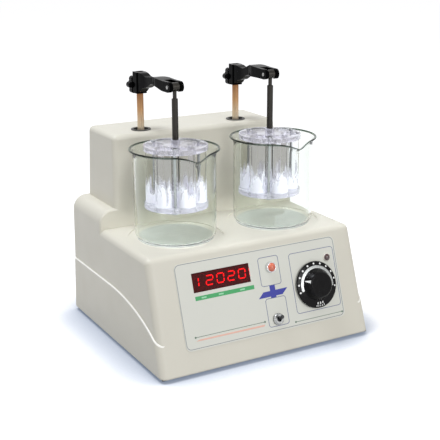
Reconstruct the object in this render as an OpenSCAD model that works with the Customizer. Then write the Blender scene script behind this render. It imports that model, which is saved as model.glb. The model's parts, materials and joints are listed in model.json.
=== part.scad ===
// Two-station tablet disintegration tester: a moulded bench housing with a
// sloped control panel, a rear column from which two rods lift a pair of
// basket racks up and down in glass beakers that stand on heated plates.
// Millimetres. +Z is up and the control panel faces -Y. The origin is the
// middle of the ground plan, at the level of the soles of the feet.

/* [Housing] */
// Width of the housing at its lower rim
body_w = 308; // [304:1:312]
// Depth of the housing at its lower rim
body_d = 285; // [282:1:290]
// Height of the deck above the lower rim
deck_h = 139; // [137:1:146]
// How far the panel leans back between the lower rim and the deck
panel_lean = 46.5; // [42:0.5:48]
// Wall thickness of the moulding
wall = 4; // [3:0.5:4.5]
// Radius of the moulding's outer edges
edge_r = 9; // [7:0.5:10]
// Slope of the side walls, as a tangent
side_draft = 0.018; // [0.01:0.002:0.03]
// Slope of the rear wall, as a tangent
rear_draft = 0.025; // [0.01:0.005:0.03]
// How far the lower side panels stand proud
ledge = 1.8; // [1:0.2:2.4]
// Height of the proud side panels above the lower rim
ledge_h = 75; // [60:0.5:90]
// Length of the elliptic curve in which the proud panels run down to the front
ledge_run = 175; // [165:5:190]
// Full drop of that curve
ledge_drop = 85; // [80:5:100]
// Distance from the front rim at which the curve starts
ledge_curve_y = 155; // [150:1:160]

/* [Column] */
// Height of the column above the deck
column_rise = 121; // [112:1:130]
// Width of the column at the lower rim's level, before its draft
column_w = 263; // [260:1:268]
// Slope of the column's sides, as a tangent
column_draft = 0.03; // [0.02:0.005:0.035]
// Distance of the column's front wall behind the front rim, at rim level
column_y = 177.5; // [175:0.5:180]
// Slope of the column's front wall, as a tangent
column_lean = 0.058; // [0.05:0.002:0.064]
// Height of the full-width shoulders above the deck
shoulder_rise = 25; // [22:1:28]
// Radius of the broad round in which the shoulders fall to the sides
shoulder_r = 18; // [16:1:19]
// Radius of the column's outer edges
column_edge_r = 7; // [6:0.5:8]

/* [Feet and base] */
// Height of the rubber feet
foot_h = 4; // [3:0.5:8]
// Radius of a foot
foot_r = 11; // [9:0.5:13]
// Distance of the feet's centres from the side and end rims
foot_inset = 26; // [24:1:34]
// Thickness of the base plate
base_t = 2; // [1.5:0.5:2.5]
// Radius of the case screws' shanks
screw_r = 1.9; // [1.5:0.1:2]
// Radius of the bosses that take the case screws
boss_r = 7.5; // [6.5:0.5:8]
// Height of those bosses above the base plate
boss_h = 20; // [16:1:30]

/* [Stations] */
// Distance of each station's centre line from the middle
station_x = 73; // [71:0.5:76]
// Radius of the shallow round recess in the deck
recess_r = 61.5; // [60:0.5:62]
// Depth of that recess
recess_deep = 1.2; // [0.8:0.1:1.5]
// Radius of the hot plate
plate_r = 49; // [46:0.5:50]
// Thickness of the hot plate
plate_t = 7.5; // [7:0.5:9]
// Radius of the flange that holds the hot plate under the deck
flange_r = 56; // [53:0.5:58]
// How far the hot plate stands above the recess's floor
plate_proud = 0.7; // [0.4:0.1:1]
// Thickness of the heater under the plate
heater_t = 4; // [3:0.5:5]

/* [Beakers] */
// Outer radius of a beaker
beaker_r = 52.5; // [51.5:0.5:53]
// Height of a beaker
beaker_h = 115.5; // [110:0.5:118]
// Wall thickness of a beaker
glass_t = 2.3; // [2:0.1:2.5]
// Thickness of a beaker's floor
glass_floor = 2.5; // [2:0.1:2.8]
// Outer radius of the curve between wall and floor
beaker_heel_r = 9; // [8:0.5:10]
// How far the rim flares out beyond the wall
rim_flare = 5.3; // [4:0.1:6]
// Height of the flared rim
rim_h = 8; // [6:0.5:10]
// How far the spout's tip reaches beyond the rim
spout_reach = 9; // [7:0.5:10]
// How far the spout's tip lies below the rim
spout_dip = 6; // [4:0.5:7]
// Half of the spout's width at the wall
spout_half_w = 24; // [20:0.5:26]
// Height over which the spout grows out of the wall
spout_h = 26; // [22:1:30]

/* [Lift] */
// Stroke of the racks
stroke = 55; // [53:0.5:57]
// Distance of the lift rods behind the front rim
rod_y = 216; // [214:0.5:218]
// Radius of a lift rod
rod_r = 4.5; // [4:0.1:5]
// Length of rod that shows between the column and its clamp
rod_show = 49; // [45:0.5:60]
// Distance of the crank's axis below the deck
crank_drop = 30; // [28:0.5:32]
// Outer radius of the rod bush's collar
bush_r = 13.3; // [12.5:0.1:14]
// Depth of the rod bush below the column's top
bush_deep = 22; // [18:1:26]
// Height of the crossbar
crossbar_h = 20; // [18:1:21]
// Depth of the crossbar, front to rear
crossbar_d = 18; // [16:0.5:19]
// Radius of the crank's roller
roller_r = 6; // [5:0.5:6.5]

/* [Clamps] */
// Distance from the lift rod to the hanger's pin
arm_len = 98.5; // [98:0.5:99]
// Swivel of the left arm about its rod, towards the middle, in degrees
left_yaw = 1; // [0:0.5:1.5]
// Swivel of the right arm about its rod, towards the middle, in degrees
right_yaw = 3; // [2:0.5:3.5]
// Height of the clamp's block
block_h = 28; // [27:0.5:30]
// Width of the clamp's block
block_w = 15; // [14:0.5:17]
// Height of the left hanger's pin above the block's underside
left_rise = 21; // [20:0.5:22]
// Height of the right hanger's pin above the block's underside
right_rise = 26.5; // [25:0.5:28]
// Radius of the fork's round ears
ear_r = 6.5; // [6:0.1:7]
// Width of the fork over both ears
fork_w = 20; // [19:0.5:22]
// Gap between the ears
fork_gap = 11; // [10:0.5:12]
// Radius of the hanger's pin
pin_r = 2.4; // [2:0.1:2.6]
// Height of the clamp screw above the block's underside
knob_rise = 10; // [9:0.5:12]
// Radius of the lobed clamp knob
knob_r = 12.5; // [11:0.5:13]
// Radius of the knob's lobes
knob_lobe_r = 4; // [3.5:0.1:4.5]
// Thickness of the lobed clamp knob
knob_t = 9; // [7:0.5:10]

/* [Basket racks] */
// Length from the left hanger's pin down to the upper plates' top
hanger_len = 72; // [68:0.5:73]
// Radius of the hanger rod
hanger_r = 4; // [3.5:0.1:4.2]
// Radius of both plates
rack_r = 41; // [40:0.5:41.5]
// Thickness of each plate
rack_t = 6; // [5:0.5:7]
// Height from the lower plate's underside to the upper plate's top
rack_h = 79.5; // [79:0.5:82]
// Outer radius of a tube
tube_r = 12; // [11.5:0.1:12.2]
// Wall thickness of a tube
tube_wall = 1.8; // [1:0.1:2.2]
// Length of a tube
tube_h = 77; // [75:0.5:77.5]
// Radius of the circle on which the tubes stand
tube_ring_r = 27; // [26.5:0.1:27.5]
// Radius of the circle on which the tie bolts stand
bolt_ring_r = 33; // [32.5:0.1:33.5]
// Radius of a tie bolt
bolt_r = 2; // [1.5:0.1:2.2]
// Thickness of the wire gauze
gauze_t = 0.6; // [0.4:0.1:0.8]

/* [Panel] */
// Width of the printed panel sheet
sheet_w = 236; // [232:1:238]
// Height of the printed panel sheet, along the slope
sheet_h = 107; // [104:1:108]
// Distance of the sheet's middle from the housing's middle
sheet_x = 2.5; // [0:0.5:3]
// Distance of the sheet's middle from the front rim, along the slope
sheet_s = 81.5; // [80:0.5:84]
// Thickness of the sheet
sheet_t = 0.6; // [0.4:0.1:1]
// Width of the display window
window_w = 81; // [80:0.5:83]
// Height of the display window
window_h = 24; // [22:0.5:26]
// Place of the display window across the panel
window_x = -53.1; // [-54:0.1:-52]
// Place of the display window along the slope
window_s = 108.8; // [107:0.1:110]
// Number of digits
digit_count = 5; // [4:1:5]
// Pitch of the digits
digit_pitch = 15.4; // [14.8:0.1:15.6]
// Place of the power lamp across the panel
lamp_x = 18; // [16:0.5:20]
// Place of the power lamp along the slope
lamp_s = 110; // [108:0.5:112]
// Radius of the power lamp's bezel
lamp_r = 7.5; // [6.5:0.1:8]
// How far the power lamp's bezel stands out of the sheet
lamp_h = 4.5; // [3:0.5:6]
// Height of the power lamp's dome
lamp_dome = 3.8; // [3:0.2:5]
// Place of the heater lamp across the panel
pilot_x = 105; // [103:0.5:106]
// Place of the heater lamp along the slope
pilot_s = 108.5; // [107:0.5:111]
// Radius of the heater lamp's bezel
pilot_r = 5.6; // [5:0.1:6]
// How far the heater lamp's bezel stands out of the sheet
pilot_h = 1.6; // [1.2:0.2:3]
// Place of the switch across the panel
switch_x = 17.5; // [16:0.5:20]
// Place of the switch along the slope
switch_s = 43.5; // [42:0.5:46]
// Radius of the switch's nut
nut_r = 7.5; // [7:0.1:8.5]
// Tilt of the switch lever to each side, in degrees
lever_tilt = 15; // [10:1:18]
// Place of the temperature knob across the panel
dial_x = 81; // [79:0.5:83]
// Place of the temperature knob along the slope
dial_s = 76.5; // [75:0.5:80]
// Radius of the knob's skirt
dial_r = 30.5; // [28:0.5:32]
// Radius of the knob's grip at its foot
grip_r = 20.5; // [18:0.5:22]
// Radius of the knob's grip at its top
grip_top_r = 17; // [15:0.5:18]
// Height of the knob above the panel sheet
dial_h = 16; // [14:0.5:20]

/* [Hidden] */
$fn = 64;

LEFT = -1;
RIGHT = 1;
SIDES = [LEFT, RIGHT];
OVER = 1; // how far a cut runs past the face it opens
SEAT = 0.1; // play between a piece and the moulded wall it seats on
SNUG = 0.02; // play of a fixed shaft in its hole
RUN = 0.06; // radial play of a running fit
LOOSE = 0.3; // play between pieces that move past each other
HULL_FN = 32;
form_low = -3 * edge_r; // where the moulding's forms start, below the rim

// Levels above the soles of the feet
rim_z = foot_h;
base_z = rim_z + base_t;
deck_z = rim_z + deck_h;
column_z = deck_z + column_rise;
floor_z = deck_z - recess_deep;
hot_z = floor_z + plate_proud;
block_z = column_z + rod_show;
upper_z = block_z + left_rise - hanger_len;
lower_z = upper_z - rack_h;
crank_z = deck_z - crank_drop;

// Depths from the middle of the plan
front_y = -body_d / 2;
lift_y = front_y + rod_y;
beaker_y = lift_y - arm_len; // the beakers stand under the hangers' pins

// The panel: its slope, and the way along and out of it
panel_tan = panel_lean / deck_h;
panel_ang = atan(panel_tan);

// Drive: the crank disc turns in front of the yoke, which the crossbar carries
crank_throw = stroke / 2;
disc_r = crank_throw + roller_r + 3;
disc_t = 5.5;
roller_t = 3.2;
yoke_t = 4;
bar_front = lift_y - crossbar_d / 2;
yoke_front = bar_front - yoke_t;
roller_front = yoke_front - LOOSE - roller_t;
disc_front = roller_front - disc_t;
bracket_t = 3;
bracket_y = disc_front - 3 - bracket_t;
shaft_r = 5;
motor_r = 30;
motor_offset = 11;
motor_len = 36;

// Lower guides of the lift rods
guide_h = 12;
guide_z = crank_z - crossbar_h / 2 - stroke / 2 - LOOSE - 3 - guide_h;
rod_low_z = guide_z + guide_h - 8 - stroke / 2;

// Hanger
neck_r = 2.5;
neck_len = 14.5;
tail_r = 3;
eye_r = 5.6;
eye_w = 9;
collar_h = 6;

// Panel parts
barrel_r = 5.4;
bezel_floor = 0.6; // what is left of a lamp's bezel under its lens
pilot_barrel_r = 3.6;
pilot_stem_r = 2.4;
pilot_dome = 2.2;
bushing_r = 5.9;
bushing_out = 4;
lever_pivot_r = 1.2;
lever_pivot_half = 4.4;
spindle_r = 3;
dial_bushing_r = 4.8;
board_back = 8; // from the panel's inner face to the display board
board_t = 1.6;
post_r = 3;
post_x = 50;
post_s = 15;

// Rear sockets
pocket_w = 76;
pocket_h = 36;
pocket_y = 3; // depth of the pocket below the rear rim's plane
socket_x = body_w / 2 - 62;
socket_z = base_z + 38;
inlet_w = 30;
inlet_h = 23;
fuse_x = 26;
fuse_r = 6;

function set_in(tan_a, r) = r * sqrt(1 + tan_a * tan_a);
function yaw(side) = side == LEFT ? left_yaw : -right_yaw;
function rise(side) = side == LEFT ? left_rise : right_rise;
function pin_z(side) = block_z + rise(side);
function ease(a, b, t) = a + (b - a) * (1 - cos(180 * t)) / 2;
function along(keys, u, i = 0) =
    u <= keys[i + 1][0] || i == len(keys) - 2
        ? ease(keys[i][1], keys[i + 1][1], (u - keys[i][0]) / (keys[i + 1][0] - keys[i][0]))
        : along(keys, u, i + 1);
function arc(cx, cy, r, from, to, steps) =
    [for (i = [0:steps]) [cx + r * cos(from + (to - from) * i / steps),
                          cy + r * sin(from + (to - from) * i / steps)]];

// A dome's outline, from its foot at height z to its top.
function dome(foot_r, z, high, steps = 8) =
    let (r = (foot_r * foot_r + high * high) / (2 * high))
        arc(0, z + high - r, r, asin((r - high) / r), 90, steps);

// Helpers -------------------------------------------------------------------

// A block with drafted walls and round edges. Its walls pass through half_w,
// front and rear at the rim's level, and skin draws it in all round.
module drafted_block(half_w, side_t, front, front_t, rear, rear_t, low, top, r, skin) {
    hull()
        for (z = [low, top - r])
            for (side = SIDES)
                for (y = [front + front_t * z + set_in(front_t, r), rear - rear_t * z - set_in(rear_t, r)])
                    translate([side * (half_w - side_t * z - set_in(side_t, r)), y, z])
                        sphere(r - skin, $fn = HULL_FN);
}

module round_rect(w, h, r) {
    square([w - 2 * r, h], center = true);
    square([w, h - 2 * r], center = true);
    for (sx = SIDES)
        for (sy = SIDES)
            translate([sx * (w / 2 - r), sy * (h / 2 - r)])
                circle(r);
}

// Places a piece on the panel: X across, Y up the slope, Z out of the face.
module on_panel(x, s, out = 0) {
    translate([0, front_y, rim_z])
        rotate([90 - panel_ang, 0, 0])
            translate([x, s, out])
                children();
}

// A hole along +Z from `from` to `to`.
module bore(r, from, to) {
    translate([0, 0, from])
        cylinder(r = r, h = to - from);
}

// A cylinder that runs along +Y.
module y_cylinder(r, from, to) {
    translate([0, from, 0])
        rotate([-90, 0, 0])
            cylinder(r = r, h = to - from);
}

// Places a piece on one side's lift rod, turned with its clamp arm.
module on_arm(side, z) {
    translate([side * station_x, lift_y, z])
        rotate([0, 0, yaw(side)])
            children();
}

module on_hanger(side, z) {
    on_arm(side, z)
        translate([0, -arm_len, 0])
            children();
}

// Housing ---------------------------------------------------------------------

module body_form(half_w, skin) {
    drafted_block(half_w, side_draft, front_y, panel_tan, body_d / 2, rear_draft,
        form_low, deck_h, edge_r, skin);
}

// The shoulders fall to the sides in a broad round and end square at the front
// and the rear, but for a narrow bevel.
module shoulder_form(skin) {
    half_w = body_w / 2 - ledge;
    bevel = 2;
    z = deck_h + shoulder_rise - shoulder_r;
    x = half_w - side_draft * z - set_in(side_draft, shoulder_r);
    front = front_y + column_y + column_lean * z + skin;
    rear = body_d / 2 - rear_draft * z - skin;
    hull()
        for (side = SIDES) {
            for (y = [front_y + column_y + column_lean * form_low + set_in(column_lean, edge_r),
                      body_d / 2 - rear_draft * form_low - set_in(rear_draft, edge_r)])
                translate([side * (half_w - side_draft * form_low - set_in(side_draft, edge_r)), y, form_low])
                    sphere(edge_r - skin, $fn = HULL_FN);
            translate([side * x, front, z])
                rotate([-atan(column_lean), 0, 0])
                    round_end(shoulder_r - skin, bevel);
            translate([side * x, rear, z])
                rotate([-atan(rear_draft), 0, 180])
                    round_end(shoulder_r - skin, bevel);
        }
}

// A disc that faces -Y, with a bevel round its face.
module round_end(r, bevel) {
    y_cylinder(r - bevel, 0, bevel, $fn = HULL_FN);
    y_cylinder(r, bevel, bevel + 1, $fn = HULL_FN);
}

module column_form(skin) {
    drafted_block(column_w / 2, column_draft, front_y + column_y, column_lean,
        body_d / 2, rear_draft, form_low, deck_h + column_rise, column_edge_r, skin);
}

// Everything below the curve in which the proud side panels end.
module ledge_region() {
    low = -4 * edge_r;
    start = front_y + ledge_curve_y;
    rotate([90, 0, 90])
        linear_extrude(2 * body_w, center = true)
            polygon(concat(
                [[start - ledge_run, low], [body_d, low], [body_d, ledge_h]],
                [for (t = [90:5:180]) [start + ledge_run * cos(t), ledge_h + ledge_drop * (sin(t) - 1)]]));
}

module housing_outside() {
    body_form(body_w / 2 - ledge, 0);
    intersection() {
        body_form(body_w / 2, 0);
        ledge_region();
    }
    shoulder_form(0);
    column_form(0);
}

module housing_inside() {
    body_form(body_w / 2 - ledge, wall);
    shoulder_form(wall);
    column_form(wall);
}

// Where the six case screws go, from the middle of the plan.
function case_screw_xy() = [
    for (side = SIDES)
        for (y = [front_y + 42, 0, body_d / 2 - 36])
            [side * (body_w / 2 - ledge - wall - boss_r + 0.8), y]
];

function foot_xy() = [
    for (side = SIDES)
        for (y = [front_y + foot_inset + 4, body_d / 2 - foot_inset])
            [side * (body_w / 2 - foot_inset), y]
];

module case_bosses() {
    for (p = case_screw_xy())
        translate([p[0], p[1], base_z])
            cylinder(r = boss_r, h = boss_h);
}

module display_posts() {
    for (sx = SIDES)
        for (sy = SIDES)
            on_panel(window_x + sx * post_x, window_s + sy * post_s, -wall - board_back)
                cylinder(r = post_r, h = board_back + wall / 2);
}

module socket_pad() {
    translate([socket_x - pocket_w / 2, body_d / 2 - wall - 5, socket_z - pocket_h / 2 - 4])
        cube([pocket_w, 6, pocket_h + 8]);
}

module panel_cuts() {
    low = -wall - OVER;
    high = sheet_t + OVER;
    on_panel(window_x, window_s, low)
        linear_extrude(high - low)
            square([window_w, window_h], center = true);
    on_panel(lamp_x, lamp_s)
        bore(barrel_r + SEAT, low, high);
    on_panel(pilot_x, pilot_s)
        bore(pilot_barrel_r + SEAT, low, high);
    on_panel(switch_x, switch_s)
        bore(bushing_r + SEAT, low, high);
    on_panel(dial_x, dial_s)
        bore(dial_bushing_r + SEAT, low, high);
}

module socket_cuts() {
    floor_y = body_d / 2 - pocket_y - 1;
    translate([socket_x, floor_y, socket_z])
        rotate([-90, 0, 0])
            linear_extrude(20)
                round_rect(pocket_w - 4, pocket_h - 4, 3);
    translate([socket_x - fuse_x / 2, body_d / 2, socket_z])
        cube([inlet_w - 3 + 2 * SEAT, 40, inlet_h - 3 + 2 * SEAT], center = true);
    translate([socket_x + fuse_x, 0, socket_z])
        y_cylinder(fuse_r + SEAT, body_d / 2 - 20, body_d / 2 + OVER);
}

module housing_shell() {
    color("#dad7c9")
        difference() {
            union() {
                translate([0, 0, rim_z])
                    difference() {
                        housing_outside();
                        housing_inside();
                    }
                case_bosses();
                display_posts();
                socket_pad();
            }
            translate([-body_w, -body_d, rim_z - 8 * edge_r])
                cube([2 * body_w, 2 * body_d, 8 * edge_r]);
            for (side = SIDES) {
                translate([side * station_x, beaker_y, 0]) {
                    bore(recess_r, floor_z, deck_z + OVER);
                    bore(plate_r + SEAT, deck_z - 3 * wall, deck_z);
                }
                translate([side * station_x, lift_y, 0])
                    bore(bush_r - 2 + SEAT, column_z - 2 * wall, column_z + OVER);
            }
            panel_cuts();
            socket_cuts();
            for (p = case_screw_xy())
                translate([p[0], p[1], 0])
                    bore(screw_r + RUN, base_z - OVER, base_z + boss_h - 4);
        }
}

module base_plate() {
    half_w = body_w / 2 - ledge - wall - 2 * SEAT - side_draft * base_t;
    y0 = front_y + set_in(panel_tan, wall) + panel_tan * base_t + LOOSE;
    y1 = body_d / 2 - wall - 2 * SEAT - rear_draft * base_t;
    slot_pitch = 9;
    color("#8d9196")
        translate([0, 0, rim_z])
            difference() {
                linear_extrude(base_t)
                    translate([0, (y0 + y1) / 2])
                        round_rect(2 * half_w, y1 - y0, edge_r);
                for (p = case_screw_xy())
                    translate([p[0], p[1]])
                        bore(screw_r + RUN, -OVER, base_t + OVER);
                for (p = foot_xy())
                    translate([p[0], p[1]])
                        bore(screw_r + RUN, -OVER, base_t + OVER);
                for (i = [-3:3])
                    translate([0, front_y + 60 + i * slot_pitch])
                        cube([60, 3, 4 * base_t], center = true);
            }
}

module screw(length, head_r, head_h) {
    bore(screw_r, 0, length);
    bore(head_r, -head_h, 0);
}

module case_screws() {
    color("silver") {
        for (p = case_screw_xy())
            translate([p[0], p[1], rim_z])
                screw(base_t + boss_h / 2, 3.6, 2);
        for (p = foot_xy())
            translate([p[0], p[1], rim_z - foot_h / 2])
                screw(foot_h / 2 + base_t + 3, 3.6, 1.2);
    }
}

module rubber_feet() {
    color("#26262a")
        for (p = foot_xy())
            translate([p[0], p[1], 0])
                difference() {
                    cylinder(r1 = foot_r - 1, r2 = foot_r, h = foot_h);
                    bore(screw_r + SEAT, -OVER, foot_h + OVER);
                    bore(4.2, -OVER, foot_h / 2);
                }
}

// Panel ---------------------------------------------------------------------

module front_panel_sheet() {
    color("#d2d2c6")
        difference() {
            on_panel(sheet_x, sheet_s)
                linear_extrude(sheet_t)
                    round_rect(sheet_w, sheet_h, 7);
            panel_cuts();
        }
}

module display_window() {
    lip = 2;
    color("#4a0d10")
        on_panel(window_x, window_s) {
            translate([0, 0, -wall - SEAT])
                linear_extrude(wall + SEAT + sheet_t)
                    square([window_w - 2 * SEAT, window_h - 2 * SEAT], center = true);
            translate([0, 0, -wall - SEAT - 1])
                linear_extrude(1)
                    square([window_w + 2 * lip, window_h + 2 * lip], center = true);
        }
}

module display_board() {
    color("#1d5b34")
        on_panel(window_x, window_s, -wall - board_back - board_t - SEAT)
            linear_extrude(board_t)
                round_rect(2 * post_x + 4 * post_r, 2 * post_s + 3 * post_r, 2);
}

module display_digits() {
    depth = board_back - 2.6;
    color("#2b1214")
        for (i = [0:digit_count - 1])
            on_panel(window_x + (i - (digit_count - 1) / 2) * digit_pitch, window_s,
                -wall - board_back - SEAT)
                linear_extrude(depth)
                    square([digit_pitch - 1, window_h - 4], center = true);
}

module power_lamp_bezel() {
    lens_r = lamp_r - 2;
    color("silver")
        on_panel(lamp_x, lamp_s)
            difference() {
                union() {
                    bore(barrel_r, -22, sheet_t + 1);
                    translate([0, 0, sheet_t])
                        cylinder(r1 = lamp_r, r2 = lamp_r - 1, h = lamp_h);
                    bore(barrel_r + 3, -wall - SEAT - 3, -wall - SEAT);
                }
                bore(barrel_r - 2, -20, sheet_t + 2 * OVER);
                bore(lens_r, sheet_t + bezel_floor, sheet_t + lamp_h + OVER);
            }
}

module power_lamp_lens() {
    lens_r = lamp_r - 2 - SEAT;
    low = sheet_t + bezel_floor + SEAT;
    color("#d8532b")
        on_panel(lamp_x, lamp_s)
            rotate_extrude()
                polygon(concat([[0, low], [lens_r, low]], dome(lens_r, sheet_t + lamp_h - 0.4, lamp_dome)));
}

module heater_lamp_bezel() {
    color("#c9c6bd")
        on_panel(pilot_x, pilot_s)
            difference() {
                union() {
                    bore(pilot_barrel_r, -12, sheet_t + 1);
                    translate([0, 0, sheet_t])
                        cylinder(r1 = pilot_r, r2 = pilot_r - 0.6, h = pilot_h);
                }
                bore(pilot_stem_r + SEAT, -6, sheet_t + OVER);
                bore(pilot_r - 1.2, sheet_t + bezel_floor, sheet_t + pilot_h + OVER);
            }
}

module heater_lamp_lens() {
    lens_r = pilot_r - 1.2 - SEAT;
    low = sheet_t + bezel_floor + SEAT;
    color("#5a1216")
        on_panel(pilot_x, pilot_s)
            rotate_extrude()
                polygon(concat(
                    [[0, SEAT - 6], [pilot_stem_r, SEAT - 6], [pilot_stem_r, low], [lens_r, low]],
                    dome(lens_r, sheet_t + pilot_h, pilot_dome)));
}

// A pin across the switch, from side to side.
module pivot_cylinder(r, half) {
    rotate([0, 90, 0])
        cylinder(r = r, h = 2 * half, center = true);
}

module switch_body() {
    bore_r = 3.5;
    color("#30343a")
        on_panel(switch_x, switch_s)
            difference() {
                union() {
                    translate([0, 0, -wall - SEAT - 10])
                        cube([14, 22, 20], center = true);
                    bore(bushing_r, -wall - SEAT - OVER, sheet_t + bushing_out);
                }
                bore(bore_r, -wall - 8, sheet_t + bushing_out + OVER);
                translate([0, 0, sheet_t])
                    pivot_cylinder(lever_pivot_r + RUN, lever_pivot_half + LOOSE / 2);
            }
}

module switch_nut() {
    color("silver")
        on_panel(switch_x, switch_s)
            rotate_extrude()
                polygon([[bushing_r + SNUG, sheet_t + 0.2], [nut_r, sheet_t + 0.2], [nut_r, sheet_t + 2.4],
                    [nut_r - 1, sheet_t + 3.4], [bushing_r + SNUG, sheet_t + 3.4]]);
}

module switch_lever() {
    ball_r = 3.1;
    reach = 11.5;
    color("#17181b")
        on_panel(switch_x, switch_s, sheet_t)
            rotate([-lever_tilt, 0, 0]) {
                sphere(ball_r);
                pivot_cylinder(lever_pivot_r, lever_pivot_half);
                cylinder(r1 = 1.4, r2 = 2, h = reach);
                translate([0, 0, reach])
                    sphere(2.6);
            }
}

module thermostat_body() {
    color("#9a9ca0")
        on_panel(dial_x, dial_s)
            difference() {
                union() {
                    bore(20, -wall - SEAT - 26, -wall - SEAT);
                    bore(dial_bushing_r, -wall - SEAT - OVER, sheet_t + 0.8);
                }
                bore(spindle_r + RUN, -wall - 20, sheet_t + 0.8 + OVER);
            }
}

module temperature_spindle() {
    color("silver")
        on_panel(dial_x, dial_s)
            bore(spindle_r, -wall - 18, sheet_t + dial_h - 5);
}

module temperature_knob() {
    skirt_low = 1.6;
    skirt_t = 2.6;
    color("#161719")
        on_panel(dial_x, dial_s, sheet_t)
            difference() {
                rotate_extrude()
                    polygon([[0, skirt_low], [dial_r - 0.8, skirt_low], [dial_r, skirt_low + 0.8],
                        [dial_r, skirt_low + skirt_t - 0.8], [dial_r - 0.8, skirt_low + skirt_t],
                        [grip_r + 0.6, skirt_low + skirt_t + 1.4], [grip_r, skirt_low + skirt_t + 2.4],
                        [grip_top_r, dial_h - 2], [grip_top_r - 2, dial_h], [0, dial_h]]);
                bore(spindle_r + SNUG, 0, dial_h - 5 + SNUG);
            }
}

// Heated stations -------------------------------------------------------------

module hot_plate(side) {
    color("#9fa1a0")
        translate([side * station_x, beaker_y, 0]) {
            bore(plate_r, hot_z - plate_t, hot_z);
            bore(flange_r, hot_z - plate_t, deck_z - wall - SEAT);
        }
}

module heater(side) {
    color("#b98a4a")
        translate([side * station_x, beaker_y, hot_z - plate_t]) {
            difference() {
                bore(plate_r - 1, -heater_t, 0);
                bore(8, -heater_t - OVER, OVER);
            }
            for (sx = SIDES)
                translate([sx * 14, 0, -heater_t - 5])
                    cube([6, 1, 12], center = true);
        }
}

// Lift ----------------------------------------------------------------------

module rod_bush(side) {
    lip = 1.2;
    cup = 6;
    color("#4a4b4d")
        translate([side * station_x, lift_y, column_z])
            difference() {
                union() {
                    bore(bush_r, SEAT, lip);
                    bore(bush_r - 2, -bush_deep, lip);
                }
                bore(rod_r + RUN, -bush_deep - OVER, lip + OVER);
                bore(bush_r - 3.3, -cup, lip + OVER);
            }
}

module guide_bracket() {
    half = station_x + 14;
    leg_t = 3;
    yoke_room = 1;
    deep = crossbar_d - yoke_room;
    mid_y = bar_front + yoke_room + deep / 2;
    color("#7f858c") {
        difference() {
            translate([-half, mid_y - deep / 2, guide_z])
                cube([2 * half, deep, guide_h]);
            for (side = SIDES)
                translate([side * station_x, lift_y, 0])
                    bore(rod_r + RUN, guide_z - OVER, guide_z + guide_h + OVER);
        }
        for (side = SIDES) {
            translate([side * (half - leg_t / 2), mid_y, (base_z + guide_z) / 2])
                cube([leg_t, deep, guide_z - base_z], center = true);
            translate([side * (half - 10), mid_y, base_z + leg_t / 2])
                cube([20, deep, leg_t], center = true);
        }
    }
}

module motor_bracket() {
    half = motor_r + 12;
    high = deck_z - wall - 6 - base_z;
    color("#7f858c")
        difference() {
            union() {
                translate([-half, bracket_y, base_z])
                    cube([2 * half, bracket_t, high]);
                translate([-half, bracket_y - 24, base_z])
                    cube([2 * half, 24, bracket_t]);
                for (side = SIDES)
                    translate([side * (half - bracket_t / 2) - bracket_t / 2, bracket_y - 24, base_z])
                        cube([bracket_t, 24, high / 3]);
            }
            translate([0, 0, crank_z])
                y_cylinder(shaft_r + 3, bracket_y - OVER, bracket_y + bracket_t + OVER);
        }
}

module gear_motor() {
    color("#a9adb2")
        difference() {
            union() {
                translate([0, 0, crank_z - motor_offset])
                    y_cylinder(motor_r, bracket_y - motor_len, bracket_y);
                translate([0, 0, crank_z - motor_offset])
                    y_cylinder(motor_r - 4, bracket_y - motor_len - 16, bracket_y - motor_len);
                translate([0, 0, crank_z])
                    y_cylinder(shaft_r + 2.4, bracket_y - OVER, bracket_y + bracket_t + 1);
            }
            translate([0, 0, crank_z])
                y_cylinder(shaft_r + RUN, bracket_y - motor_len / 2, bracket_y + bracket_t + 1 + OVER);
        }
}

module motor_shaft() {
    color("silver")
        translate([0, 0, crank_z])
            y_cylinder(shaft_r, bracket_y - motor_len / 2 + LOOSE, disc_front + disc_t);
}

module crank_disc() {
    color("#8a6a3a")
        translate([0, 0, crank_z])
            difference() {
                y_cylinder(disc_r, disc_front, disc_front + disc_t);
                y_cylinder(shaft_r + SNUG, disc_front - OVER, disc_front + disc_t + OVER);
                translate([crank_throw, 0, 0])
                    y_cylinder(2.5 + SNUG, disc_front - OVER, disc_front + disc_t + OVER);
            }
}

// The roller stands just short of the yoke's slot, where its pivot is open.
module crank_roller() {
    color("silver")
        translate([crank_throw, 0, crank_z]) {
            y_cylinder(2.5, disc_front, roller_front + roller_t);
            y_cylinder(roller_r, roller_front + SNUG, roller_front + roller_t);
        }
}

module lift_rod(side) {
    color("#a8672f")
        translate([side * station_x, lift_y, 0])
            bore(rod_r, rod_low_z, block_z + block_h - 1);
}

module crossbar() {
    half = station_x + 15;
    color("#8f949a")
        difference() {
            translate([0, lift_y, crank_z])
                cube([2 * half, crossbar_d, crossbar_h], center = true);
            for (side = SIDES)
                translate([side * station_x, lift_y, 0])
                    bore(rod_r + SNUG, crank_z - crossbar_h, crank_z + crossbar_h);
        }
}

module yoke_plate() {
    slot_half = crank_throw + roller_r + 1;
    slot_h = 2 * (roller_r + LOOSE);
    color("#b9bcc0")
        difference() {
            translate([0, yoke_front + yoke_t / 2, crank_z])
                cube([2 * slot_half + 16, yoke_t, slot_h + 16], center = true);
            translate([0, yoke_front + yoke_t / 2, crank_z])
                cube([2 * slot_half - slot_h, 2 * yoke_t, slot_h], center = true);
            for (side = SIDES)
                translate([side * (slot_half - slot_h / 2), 0, crank_z])
                    y_cylinder(slot_h / 2, yoke_front - OVER, yoke_front + yoke_t + OVER);
        }
}

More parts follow.
